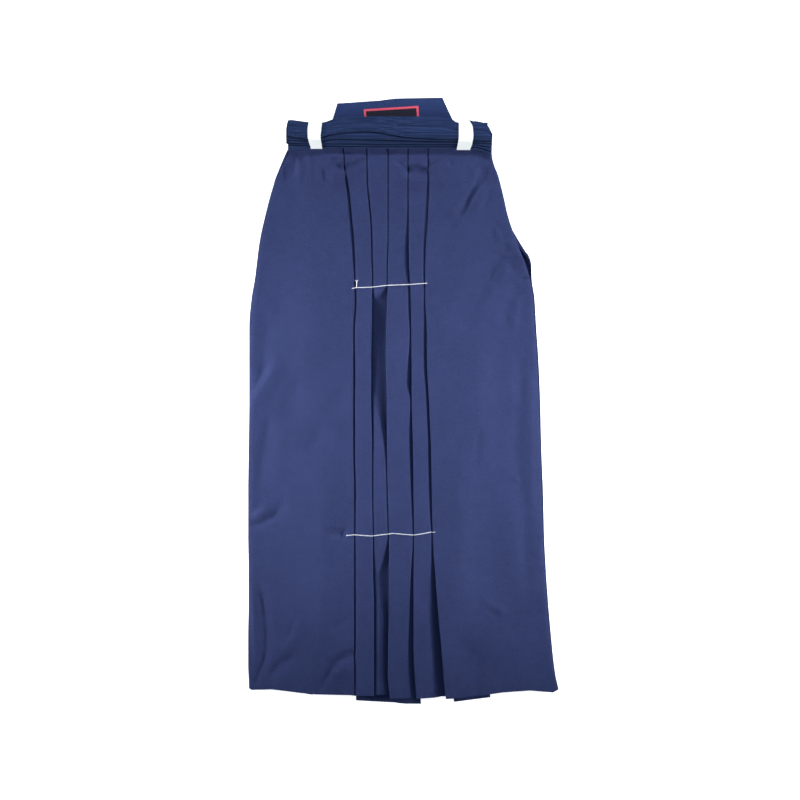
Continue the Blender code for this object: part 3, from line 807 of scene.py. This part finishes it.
def turn(across, start, end, side):
    """The middle of a rounded fold between two heights, with the cloth's outside at this place."""
    radius = abs(start - end) / 2
    middle = (start + end) / 2
    points = []
    for step in range(TURN_STEPS + 1):
        angle = math.pi * step / TURN_STEPS
        back = CLOTH / 2 + radius * (1 - math.sin(angle))
        points.append((across - side * back, middle + (start - middle) * math.cos(angle)))
    return points


def side_height(from_fold, width, lifted):
    """A front's side panel: level over its deep pleat, then down to the back, with a rounded side edge."""
    flat = DEEP_TUCK + CLEAR
    run = min(SLOPE, 0.9 * (width - flat))
    fall = smooth((from_fold - flat) / run)
    rise = PUFF * math.sin(math.pi * min(from_fold / width, 1)) ** 2 * min(width / 150, 1) * fall
    edge = lifted * max(1 - from_fold / EDGE_REACH, 0) ** 1.3
    from_side = max(width - from_fold, 0)
    rim = RIM_HIGH * fall * math.sqrt(max(1 - max(1 - from_side / RIM_WIDE, 0) ** 2, 0))
    rim *= math.exp(-max(from_side - RIM_WIDE, 0) / RIM_TAIL)
    return height(5) + (height(1) - height(5)) * fall + rise + edge + rim


def side_panel(edge, fold, lifted, hems):
    """The panel's section: its columns are closer together at the side, where it is rounded."""
    stop = fold - math.copysign(CLOTH / 2 + PITCH / 2, fold - edge)
    points = []
    for step in range(SIDE_COLUMNS):
        share = step / SIDE_COLUMNS
        share = share * (1 - 0.35 * (1 - share) ** 4)
        across = edge + (stop - edge) * share
        up = side_height(abs(fold - across), abs(fold - edge), lifted)
        points.append((across, up, straight(hems, across)))
    return points


def pleats(knots, travel):
    """The pleats at one height, as (across, up, hem). Travel is 1 or -1, the way that the cloth starts."""
    points = []
    last = None  # where the cloth has come from: across, layer, lift and hem
    index = 0
    while index < len(knots):
        across, layer, lifted, hem, steps = knots[index]
        up = height(layer) + lifted
        folded = index + 1 < len(knots) and knots[index + 1][0] == across
        if folded:
            below = knots[index + 1]
            reached = turn(across, up, height(below[1]) + below[2], travel)
        else:
            reached = [(across, up)]
        if last:
            x0, layer0, lift0, hem0 = last
            for step in range(1, steps):
                share = step / steps
                level = height(layer0) + (height(layer) - height(layer0)) * smooth(share)
                points.append((
                    x0 + (reached[0][0] - x0) * share,
                    level + lift0 + (lifted - lift0) * share,
                    hem0 + (hem - hem0) * share,
                ))
        points += [(x, z, hem) for x, z in reached]
        if folded:
            travel = -travel
            index += 1
        last = (reached[-1][0], knots[index][1], knots[index][2], hem)
        index += 1
    return points


print("the left front passes", len(left_pleats(300)), "places and the right one", len(right_pleats(300)))

# %% [markdown]
# ## The fronts
# The rows lie five millimetres apart, or half that under the belt, and each is the section at its height. Near the
# foot the rows bend to follow the uneven hem. The hem is turned up and blind stitched, so the last two centimetres
# lie a little higher, with a faint step. The relief is added to every layer of a pleat alike, so the layers never cut
# each other.

# %% The fronts
ROW_STEP = 5.0
FINE_STEP, FINE_TO = 2.5, 60.0  # the rows under the belt
HEM_DEEP = 22.0
SLIT_LIFT = ((140, 0), (172, 0.8), (208, 1), (224, 0))  # the open side's edges stand up here
BACK_LIP = ((140, 0), (165, 0.8), (185, 1), (213, 1), (226, 0))  # the back's edge turns up here
LIP_TOP = ((150, 8), (178, 6.5), (190, 4.5), (203, 2), (220, 0.8))  # how wide the lip's level top is
FRONT_EDGE_LIFT, BACK_EDGE_LIFT = 4.6, 4.2
SLIT_GAP, FRONT_EDGE_REACH, BACK_EDGE_REACH = 7.0, 34.0, 5.0
HEM_STEP, HEM_STEP_WIDE = 0.35, 2.5


def row_heights():
    """The heights of the rows: close together under the belt, then evenly spaced."""
    fine = round(FINE_TO / FINE_STEP)
    count = round((LENGTH - FINE_TO) / ROW_STEP)
    rest = [FINE_TO + (LENGTH - FINE_TO) * step / count for step in range(count + 1)]
    return [FINE_TO * step / fine for step in range(fine)] + rest


def row_down(down, hem):
    """How far down a point of a row is, once the row follows the hem."""
    return down + (hem - LENGTH) * smooth((down - HEM_STARTS) / (LENGTH - HEM_STARTS))


def slit_lift(across, down, edge):
    """The front's edge stands up where the side is open below the waist."""
    if edge == "front_left":
        return 0.0
    return FRONT_EDGE_LIFT * straight(SLIT_LIFT, down) * smooth(1 - (line(edge, down) - across) / FRONT_EDGE_REACH)


def hem_step(down, hem):
    """The turned-up hem lies a little higher."""
    return HEM_STEP * smooth((down - (hem - HEM_DEEP)) / HEM_STEP_WIDE)


def front_rows(edge, fold, hems, knots_at, travel):
    rows = []
    for down in [-SEAM_ALLOWANCE, -SEAM_ALLOWANCE / 2] + row_heights():
        points = side_panel(line(edge, down), line(fold, down), gape(fold, down), hems)
        points += pleats(knots_at(down), travel)
        row = []
        for across, up, hem in points:
            low = row_down(down, hem)
            raised = slit_lift(across, down, edge)
            row.append((across, low, up + relief(across, low) + hem_step(low, hem) + raised))
        rows.append(row)
    return rows


left_rows = front_rows("front_left", "fold_1", LEFT_HEM, left_pleats, 1)
right_rows = front_rows("front_right", "fold_5", RIGHT_HEM, right_pleats, -1)
front_left = finished("left_front", lattice(left_rows, origin=SIDE_COLUMNS), twill, "front_left", CLOTH)
front_right = finished("right_front", lattice(right_rows, origin=SIDE_COLUMNS), twill, "front_right", CLOTH)
sheet(front_left, left_rows)
sheet(front_right, right_rows)

# %% [markdown]
# ## The backs and the gusset
# The back lies on the surface under the fronts. Each half runs from its side to the middle and turns in on itself:
# together they are the back pleat. Below the crotch the legs part and the gusset shows between them. Two corners of
# the back's hem reach out below the front.

# %% The backs and the gusset
BACK_COLUMNS = 40
BACK_TURN_COLUMNS = 12
BACK_ROW_STEP = 8.0
BACK_STARTS = 0.6  # below the waist seam
CLOSER = 1.8  # the back's columns are closer together at the side by this power
BACK_FOLDS = {"left": ((0, -14), (505, 2), (950, 31)), "right": ((0, -13.6), (505, 2.4), (950, 89))}
BACK_TURNS = {"left": (30, 113), "right": (30, 63)}
BACK_TURN_HEMS = {"left": 964.5, "right": 959}
BACK_HEMS = {
    "left": ((-270, 941), (-185, 948), (-162, 955.5), (-150, 951), (-84, 953), (-4, 970.5), (30, 970.5)),
    "right": ((89, 967), (152, 952), (222, 944), (270, 941)),
}
GUSSET = ((505, 0, 16), (600, -12, 32), (720, -28, 56), (840, -44, 80), (948, -58, 102))  # down, left, right
GUSSET_ROWS, GUSSET_COLUMNS = 59, 14


def back_rows(side, edge, travel):
    rows = []
    hems = BACK_HEMS[side]
    count = round(LENGTH / BACK_ROW_STEP)
    for step in range(count + 1):
        down = BACK_STARTS + (LENGTH - BACK_STARTS) * step / count
        fold = straight(BACK_FOLDS[side], down)
        width = BACK_TURNS[side][0] + down / LENGTH * (BACK_TURNS[side][1] - BACK_TURNS[side][0])
        outer = line(edge, down)
        folded = turn(fold, height(0), height(1), travel)
        reach = folded[0][0] - outer
        shares = [(place_in / BACK_COLUMNS) ** CLOSER for place_in in range(BACK_COLUMNS)]
        points = [(outer + reach * share, height(0)) for share in shares]
        points = [(across, up, straight(hems, across)) for across, up in points + folded]
        last_hem = straight(hems, fold)
        for inner in range(1, BACK_TURN_COLUMNS + 1):
            share = inner / BACK_TURN_COLUMNS
            hem = last_hem + (BACK_TURN_HEMS[side] - last_hem) * share
            points.append((folded[-1][0] - travel * width * share, height(1), hem))
        row = []
        for across, up, hem in points:
            low = row_down(down, hem)
            gap = max(outer - line("front_right", down), 0) if side == "right" else 0
            rim = BACK_EDGE_LIFT * straight(BACK_LIP, down) * min(gap / SLIT_GAP, 1)
            inward = max(outer - across - straight(LIP_TOP, down), 0)
            row.append((across, low, up + rim * max(1 - inward / BACK_EDGE_REACH, 0) ** 2.6))
        rows.append(row)
    return rows


for side, edge, travel in (("left", "back_left", 1), ("right", "back_right", -1)):
    rows = back_rows(side, edge, travel)
    back = finished(side + "_back", lattice(rows, origin=BACK_COLUMNS), twill, "back_" + side, CLOTH)
    sheet(back, rows)

gusset_rows = []
for step in range(GUSSET_ROWS + 1):
    down = GUSSET[0][0] + (GUSSET[-1][0] - GUSSET[0][0]) * step / GUSSET_ROWS
    left = straight([row[:2] for row in GUSSET], down)
    right = straight([(row[0], row[2]) for row in GUSSET], down)
    shares = [inner / GUSSET_COLUMNS for inner in range(GUSSET_COLUMNS + 1)]
    gusset_rows.append([(left + (right - left) * share, down, height(2)) for share in shares])
gusset = finished("leg_gusset", lattice(gusset_rows), twill, "gusset", CLOTH)
sheet(gusset, gusset_rows)

# %% [markdown]
# ## The board and its label
# The stiff board is card covered with cloth. It starts as a grid in its outline and is thickened. The label lies on
# it and runs down behind the ties.

# %% The board and its label
BOARD_TOP = ((-115.5, -81.5), (-90, -83), (-41, -86.5), (-14.5, -90), (10, -90.5), (68.5, -91.5))
BOARD_FOOT = ((-139.5, -1.5), (110, -1.5))
LABEL_CORNERS = ((-69.5, -71.0), (26.5, -77.0))
SEAM = 0.35


def board_place(share_across, share_down):
    """A place on the board: its top edge bends a little, and its foot is straight."""
    across = BOARD_TOP[0][0] + share_across * (BOARD_TOP[-1][0] - BOARD_TOP[0][0])
    down = straight(BOARD_TOP, across)
    foot = BOARD_FOOT[0][0] + share_across * (BOARD_FOOT[1][0] - BOARD_FOOT[0][0])
    return across + share_down * (foot - across), down + share_down * (BOARD_FOOT[0][1] - down)


board_rows = []
for step in range(31):
    row = [board_place(inner / 60, step / 30) for inner in range(61)]
    board_rows.append([(across, down, BOARD_THICK / 2) for across, down in row])
board_mesh = lattice(board_rows)
board = finished("stiff_board", board_mesh, board_cloth, "koshi_ita", BOARD_THICK - 0.1)

slant = (LABEL_CORNERS[1][1] - LABEL_CORNERS[0][1]) / (LABEL_CORNERS[1][0] - LABEL_CORNERS[0][0])
label_rows = []
for step in range(23):
    lean = LABEL_HIGH * step / 22
    left = LABEL_CORNERS[0][0] - lean * slant
    row = []
    for inner in range(49):
        along = LABEL_WIDE * inner / 48
        row.append((left + along, LABEL_CORNERS[0][1] + lean + along * slant, BOARD_THICK + 0.5))
    label_rows.append(row)
label_mesh = lattice(label_rows)
flat = label_mesh.loops.layers.uv["cloth"]
for face in label_mesh.faces:
    for loop in face.loops:
        along, low = loop[flat].uv
        loop[flat].uv = (along, low - (LABEL_CORNERS[0][1] + along / METRE * slant) * METRE)
label = finished("woven_label", label_mesh, label_weave, "label", 0.8)
sheet(label, label_rows)

# %% [markdown]
# ## The back ties and the height of the waistband
# The back ties are sewn to the board's sides. The front waistband is sewn over the tops of the fronts, so its height
# follows their highest layer. It is made further on, once the ties' outline is known.

# %% The back ties and the height of the waistband
BACK_TIE_WIDE, BACK_TIE_THICK = 32.0, 1.6
BACK_TIE_ENDS = {"left": -196.0, "right": 148.0}
BAND_THICK, BAND_HIGH, BAND_TILT, BAND_GAP = 1.6, 55.0, 2.4, 0.7

for side, out in (("left", -1), ("right", 1)):
    rows = []
    for step in range(9):
        down = -SEAM_ALLOWANCE - 2 - BACK_TIE_WIDE * (1 - step / 8)
        side_share = (down - straight(BOARD_TOP, 999 * out)) / (BOARD_FOOT[0][1] - straight(BOARD_TOP, 999 * out))
        start = board_place(0 if out < 0 else 1, side_share)[0] + out * SEAM
        reach = BACK_TIE_ENDS[side] - start
        rows.append([(start + reach * inner / 24, down, BACK_TIE_THICK / 2) for inner in range(25)])
    tie_piece = finished(
        side + "_back_tie", lattice(rows), tie_cloth, "back_tie_" + side, BACK_TIE_THICK - 0.1
    )
    sheet(tie_piece, rows)


def over_fronts(across):
    """The middle of the fronts' highest layer at the waist."""
    left, right = line("fold_1", 0), line("fold_5", 0)
    if across < left:
        return side_height(left - across, left - line("front_left", 0), 0)
    if across > right:
        return side_height(across - right, line("front_right", 0) - right, 0)
    return height(5)


def band_height(across, down):
    half = BAND_THICK / 2
    tilt = BAND_TILT * min(down + SEAM_ALLOWANCE, 0) / BAND_HIGH
    return max(over_fronts(across) + CLOTH / 2 + BAND_GAP + half + tilt + 0.6, BACK_TIE_THICK + SEAM + half)


# %% [markdown]
# ## The folded ties
# The ties are metres long and lie folded in a stack on the waistband. A table gives the stack's outline: its top
# edge, the foot of the tie on top, and the edge of each fold below. Each fold is made as a tie of its own, a flat
# tube with rounded edges that closes at its ends, and a groove along its edge shows the tie's two plies.

# %% The folded ties
PAPER = 0.5
FOLD_THICK = 2.1
STACK_GAP = 0.8
TIE_NAMES = ("across", "top", "tie", "edge_4", "edge_3", "edge_2", "edge_1")
TIES = (
    (-205, -36, -24, -19, -15, -11, -8),
    (-202, -50.5, -23.5, -17.5, -13, -9.5, 1.5),
    (-198, -51.5, -23, -17.5, -12.5, -9, 1.8),
    (-182, -49.5, -20.5, -16.5, -12, -8.5, 0),
    (-165, -47, -18, -15.5, -11, -8, -2.5),
    (-154, -46.5, -19.5, -15, -10.5, -7.5, -3),
    (-142, -46.5, -21.5, -14.5, -10.5, -7, -3.5),
    (-126, -51, -26, -18, -11, -7, -3),
    (-104, -56, -29, -18.5, -10.5, -6.5, -2.5),
    (-85, -56.5, -30.5, -18, -10.5, -6.5, -2),
    (-65, -57, -31.5, -17.5, -10, -6, -2),
    (-47, -57, -30, -17.5, -9.5, -6, -2),
    (-22, -57, -26, -16.5, -9.5, -6, -2),
    (3, -57, -22, -16, -9.5, -6, -2),
    (34, -57, -19.5, -15, -9.5, -6, -2),
    (64, -57, -18.5, -14.5, -9.5, -6, -2),
    (84, -52.5, -17.5, -14, -9.5, -6, -2),
    (96, -46.5, -17, -13.5, -9.5, -5.5, -1.5),
    (108, -47, -16.5, -13, -9, -5.5, -1),
    (119, -47.5, -16, -13, -9, -5, -0.5),
    (124, -49.3, -16, -13, -9, -5, -0.2),
    (138.6, -46.8, -15.5, -12, -7.5, -2.5, 3),
    (147, -42, -15, -11, -6, 0, 6.5),
    (152.7, -33.3, -16, -11, -5, 2, 8.5),
    (156, -24, -18, -13, -8, -2, 5),
)
TIE = columns_of(TIE_NAMES, TIES)
FLOOR = [(row[0], band_height(row[0], 0) + BAND_THICK / 2 + STACK_GAP + PAPER + SEAM) for row in TIES]
SOFT_END = 1.4  # a tie's end is rounded over this length
# the groove in a fold, from its lower side up: the distance from the fold above and the share of its half height
GROOVE = ((2.6, 0.0), (2.0, 0.12), (1.5, 0.5), (1.0, 1.05), (0.4, 1.3), (-0.6, 1.3), (-2.5, 0.9), (-5.0, 0.05))
NOSE_STEPS = 5
HAIR = 0.002  # places of the groove that would pass the foot stay this far apart
LOOSER = 2.4  # the tie on top is uneven by this much more


def tie_section(across, top, foot, under, low, high, close):
    """A tie's section with rounded long edges and a groove between its two plies at the foot. The fold above
    ends at under, and there this fold sinks into a groove. Close is 1 but for the ends, where it is almost 0."""
    half = (high - low) / 2 * close
    middle = (high + low) / 2
    ring = []
    for ply, bulge in ((-0.5, 1.0), (0.5, 0.75)):
        for step in range(NOSE_STEPS):
            angle = -math.pi / 2 + math.pi * (step + 0.5) / NOSE_STEPS
            ring.append((foot + bulge * 0.5 * (math.cos(angle) - 1), middle + half * (ply + 0.5 * math.sin(angle))))
    for out, sink in GROOVE:
        down = min(under + out, foot - 0.5 - HAIR * len(ring))
        ring.append((down, middle + half * (1 - sink)))
    for step in range(1, 9):
        share = step / 9
        inner = min(under - 6.5, foot - 3)
        ring.append((inner + (top + 0.8 - inner) * share, middle + half))
    for step in range(NOSE_STEPS):
        angle = math.pi / 2 + math.pi * (step + 0.5) / NOSE_STEPS
        ring.append((top - 0.5 * math.cos(angle) - 0.5, middle + half * math.sin(angle)))
    for step in range(1, 16):
        share = step / 16
        ring.append((top + (foot - top) * share, middle - half))
    return [(across, down, up) for down, up in ring]


def fold_of_tie(name, key, over, layer, ends, seed, node):
    """One fold of the ties: its edge follows a column of the table, and over is the column of the fold above."""
    left, right = ends
    stations = [left + (right - left) * step / 120 for step in range(121)]
    stations[1:1] = [left + SOFT_END * share for share in (0.15, 0.4, 0.7)]
    stations[-1:-1] = [right - SOFT_END * share for share in (0.7, 0.4, 0.15)]
    stations = sorted(set(stations))
    rings = []
    for across in stations:
        from_end = min(across - left, right - across)
        close = math.sqrt(max(1 - (1 - min(from_end / SOFT_END, 1)) ** 2, 0.01))
        low = straight(FLOOR, across) + layer * FOLD_THICK + 0.05
        wander = 0.45 * noise.noise((across / 26, seed, 0.3))
        foot = curve(TIE[key], across) + wander
        top = curve(TIE["top"], across) + 0.5 * noise.noise((across / 30, seed, 7.3)) + (0.6 if layer % 2 else 0.2)
        wave = 0.12 * noise.noise((across / 18, seed, 4.1))
        under = curve(TIE[over], across) if over else (foot + top) / 2
        if not over:
            wave *= LOOSER
        rings.append(tie_section(across, top, foot, under, low, low + FOLD_THICK - 0.12 + wave, close))
    piece = finished(name, closed_tube(rings), tie_cloth, node)
    width = max(curve(TIE[key], x) - curve(TIE["top"], x) for x in stations) * METRE
    return piece


fold_of_tie("tie_fold_1", "edge_1", "edge_2", 0, (-202, 155), 1.3, "ties_bundle")
fold_of_tie("tie_fold_2", "edge_2", "edge_3", 1, (-205, 154.5), 2.9, "ties_bundle")
fold_of_tie("tie_fold_3", "edge_3", "edge_4", 2, (-204, 155.5), 4.2, "ties_bundle")
fold_of_tie("tie_fold_4", "edge_4", "tie", 3, (-205, 154), 5.8, "ties_bundle")
fold_of_tie("top_tie", "tie", None, 4, (-202, 156), 7.7, "front_tie")

waistband_rows = []
left, right = line("front_left", 0), line("front_right", 0)
for step in range(13):
    down = -BAND_HIGH + (BAND_HIGH - 2.5) * step / 12
    row = []
    for inner in range(91):
        across = left - 1 + (right - 1 - left) * inner / 90
        peak = 6.4 * math.exp(-(((across - 115) / 8) ** 4))  # its corner looks out above the right paper band
        low_top = max(down, curve(TIE["top"], across) + 2 - peak)
        row.append((across, low_top, band_height(across, low_top)))
    waistband_rows.append(row)
waistband = finished(
    "waistband", lattice(waistband_rows), tie_cloth, "front_waistband", BAND_THICK - 0.1
)
sheet(waistband, waistband_rows)
print("five folds of tie are", round(5 * FOLD_THICK, 1), "mm high")

# %% [markdown]
# ## The paper bands
# Each band is a strip of white paper wound round the stack. Its section is a rounded box round all the folds, and
# its two edges are not quite parallel. The grid is rolled into a loop and thickened.

# %% The paper bands
# down the front of the band: where its left and right edges are
BAND_EDGES = {
    "paper_band_left": ((-46, -165.8, -142), (-33, -167.5, -143.5), (-22, -167, -144.5), (-3, -162, -142)),
    "paper_band_right": ((-48, 97, 116.5), (-40, 97, 121), (-24, 97, 122.3), (-10, 95.5, 120.5), (-1, 93.5, 117)),
}


def rounded_box(top, foot, shoulder, low, high):
    """The paper's section: the top, then the slope over the folds' edges, then back underneath."""
    corners = (
        (top, low, 0.9), (top, high, 1.0), (shoulder, high, 2.0), (foot, low + 3.2, 1.2), (foot, low, 0.9),
    )
    ring = []
    for index, (down, up, radius) in enumerate(corners):
        before, after = corners[index - 1], corners[(index + 1) % len(corners)]
        into = math.dist(before[:2], (down, up))
        out = math.dist(after[:2], (down, up))
        start = [c + (b - c) * radius / into for c, b in zip((down, up), before)]
        end = [c + (a - c) * radius / out for c, a in zip((down, up), after)]
        for step in range(5):
            t = step / 4
            ring.append(tuple(
                (1 - t) ** 2 * s + 2 * t * (1 - t) * c + t * t * e for s, c, e in zip(start, (down, up), end)
            ))
        steps = max(1, round(out / 3))
        far = [c + (a - c) * (out - after[2]) / out for c, a in zip((down, up), after)]
        ring += [tuple(e + (f - e) * s / steps for e, f in zip(end, far)) for s in range(1, steps)]
    return ring


for name, edges in BAND_EDGES.items():
    lefts = [(row[0], row[1]) for row in edges]
    rights = [(row[0], row[2]) for row in edges]
    span = (min(row[1] for row in edges), max(row[2] for row in edges))
    inside = [span[0] + (span[1] - span[0]) * step / 6 for step in range(7)]
    out = SEAM + PAPER / 2
    top = min(curve(TIE["top"], x) for x in inside) - out
    foot = max(curve(TIE["edge_1"], x) for x in inside) + out + 0.3
    shoulder = max(curve(TIE["tie"], x) for x in inside) + out + 1
    rows = []
    for step in range(9):
        row = []
        lean = step / 8
        base = [straight(FLOOR, x) for x in (span[0], span[1])]
        low = base[0] + (base[1] - base[0]) * lean - out
        high = low + 5 * FOLD_THICK + 2 * out + 0.1
        for down, up in rounded_box(top, foot, shoulder, low, high):
            left, right = curve(lefts, down), curve(rights, down)
            row.append((left + (right - left) * lean, down, up))
        rows.append(row)
    mesh = lattice(rows, wrap=True)
    bmesh.ops.recalc_face_normals(mesh, faces=mesh.faces)
    finished(name.replace("paper_band", "paper_loop"), mesh, paper, name, PAPER)
print("two paper bands")

# %% [markdown]
# ## Basting threads
# Long white stitches still hold the pleats at two heights. Each thread lies over the pleats with its ends knotted
# and left free, so it follows the cloth's surface from fold to fold. It is a thin tube run along a list of points.

# %% Basting threads
THREAD_WIDE = 1.3
UPPER_THREAD = ((-90.3, 243), (-82, 241.5), (-56, 240.8), (-28, 237.5), (12.3, 236), (42, 233.8))
LOWER_THREAD = (
    (-100.3, 675.4), (-85.5, 674), (-56, 676.2), (-18.6, 671.7), (18.4, 674.5), (36.5, 671.7), (50, 669),
)
THREAD_ENDS = {
    "upper_knot_1": ((-82, 241.5), (-81.5, 236), (-81.6, 231), (-84.5, 228)),
    "upper_knot_2": ((-81.6, 231.5), (-79.1, 228.2)),
    "lower_knot": ((50, 669), (52.6, 669.8), (55.9, 669)),
}


def top_of(pieces):
    """A function that gives the height of these pieces' top at a place, in millimetres."""
    trees = []
    for piece in pieces:
        mesh = bmesh.new()
        mesh.from_mesh(piece.data)
        trees.append(BVHTree.FromBMesh(mesh))
        mesh.free()

    def height_at(across, down):
        x, y, _ = place(across, down, 0)
        hits = [tree.ray_cast((x, y, 0.1), (0, 0, -1))[0] for tree in trees]
        return max([hit.z / METRE for hit in hits if hit], default=0.0)

    return height_at


surface = top_of([front_left, front_right])


def tube_rows(route, wide, sides=8):
    """Rings round points of (across, down, up)."""
    rings = []
    for index, point in enumerate(route):
        before, after = route[max(index - 1, 0)], route[min(index + 1, len(route) - 1)]
        run = [b - a for a, b in zip(before, after)]
        long = math.hypot(run[0], run[1]) or 1
        side = (-run[1] / long, run[0] / long)
        round_end = 0.35 if index in (0, len(route) - 1) else 1
        ring = []
        for corner in range(sides):
            angle = TURN * corner / sides
            out = wide / 2 * round_end
            ring.append((
                point[0] + side[0] * out * math.cos(angle),
                point[1] + side[1] * out * math.cos(angle),
                point[2] + out * math.sin(angle),
            ))
        rings.append(ring)
    return rings


def tube(name, route, wide, material):
    """A piece that is a closed thin tube along points of (across, down, up)."""
    return finished(name, closed_tube(tube_rows(route, wide)), material)


def over_cloth(points, lift, gap=1.5):
    """A route over the cloth through points of (across, down), with a point every so often."""
    route = []
    for (x0, y0), (x1, y1) in zip(points, points[1:]):
        steps = max(2, round(math.hypot(x1 - x0, y1 - y0) / gap))
        for step in range(steps):
            share = step / steps
            x, y = x0 + (x1 - x0) * share, y0 + (y1 - y0) * share
            route.append((x, y, surface(x, y) + lift))
    x, y = points[-1]
    route.append((x, y, surface(x, y) + lift))
    # a taut thread spans the dips: each point is at least as high as the line between its neighbours further off
    taut = []
    for index, (x, y, up) in enumerate(route):
        high = up
        for far in (4, 8, 12):
            if far <= index < len(route) - far:
                high = max(high, (route[index - far][2] + route[index + far][2]) / 2 - 0.15)
        taut.append((x, y, high))
    return taut


tube("upper_basting", over_cloth(UPPER_THREAD, THREAD_WIDE / 2), THREAD_WIDE, cotton)
tube("lower_basting", over_cloth(LOWER_THREAD, THREAD_WIDE / 2), THREAD_WIDE, cotton)
for name, points in THREAD_ENDS.items():
    tube(name, over_cloth(points, THREAD_WIDE / 2 + 0.2, 0.8), THREAD_WIDE * 0.9, cotton)
print("two basting threads and their ends")

# %% [markdown]
# ## Hem stitches and bar tacks
# The hem is blind stitched: every few millimetres a navy thread catches the front and leaves a small dent. A bar
# tack closes the foot of each open side, where the cloth would tear first. Both are short tubes on the cloth.

# %% Hem stitches and bar tacks
STITCH_EVERY = 7.2
STITCH_LONG, STITCH_WIDE, STITCH_SLANT = 2.6, 0.75, 0.9
STITCH_BELOW = 4.0  # from the turned-up hem's edge
STITCH_SINKS, TACK_SINKS = 0.05, 0.25  # into the cloth
HEM_RUNS = ((LEFT_HEM, -262, -92), (RIGHT_HEM, 80, 262))
TACK_WIDE = 1.2
TACKS = {"right_tack": ((207.5, 226.5), (220.5, 219.5)), "left_tack": ((-258, 219), (-247, 225))}
stitches = bmesh.new()
for hems, start, end in HEM_RUNS:
    for count in range(int((end - start) / STITCH_EVERY)):
        across = start + count * STITCH_EVERY + 1.2 * noise.noise((count, start, 0.5))
        down = straight(hems, across) - HEM_DEEP + STITCH_BELOW + noise.noise((count, start, 3.5))
        low = (across, down + STITCH_LONG / 2)
        high = (across + STITCH_SLANT, down - STITCH_LONG / 2)
        rows = tube_rows(over_cloth([low, high], -STITCH_SINKS, 0.9), STITCH_WIDE, 6)
        one = closed_tube(rows)
        data = bpy.data.meshes.new("stitch")
        one.to_mesh(data)
        one.free()
        stitches.from_mesh(data)
        bpy.data.meshes.remove(data)
finished("hem_stitches", stitches, navy_thread)
for name, ends in TACKS.items():
    tube(name, over_cloth(ends, -TACK_SINKS, 0.9), TACK_WIDE, navy_thread)
print("hem stitches every", STITCH_EVERY, "mm and", len(TACKS), "bar tacks")

# %% [markdown]
# ## Last steps
# A wide floor goes under the garment. It glows a little, so it stays evenly white.

# %% Last steps
floor_data = bpy.data.meshes.new("floor")
floor_mesh = bmesh.new()
bmesh.ops.create_grid(floor_mesh, x_segments=1, y_segments=1, size=6)
floor_mesh.to_mesh(floor_data)
floor_mesh.free()
floor = bpy.data.objects.new("floor", floor_data)
floor.location.z = -0.0002
bpy.context.scene.collection.objects.link(floor)
floor_finish, tree, link = new_material("pale floor", 0.9)
floor_shader = tree.nodes["Principled BSDF"]
floor_shader.inputs["Base Color"].default_value = (0.93, 0.93, 0.93, 1)
floor_shader.inputs["Emission Color"].default_value = (1, 1, 1, 1)
floor_shader.inputs["Emission Strength"].default_value = 0.85
floor_data.materials.append(floor_finish)
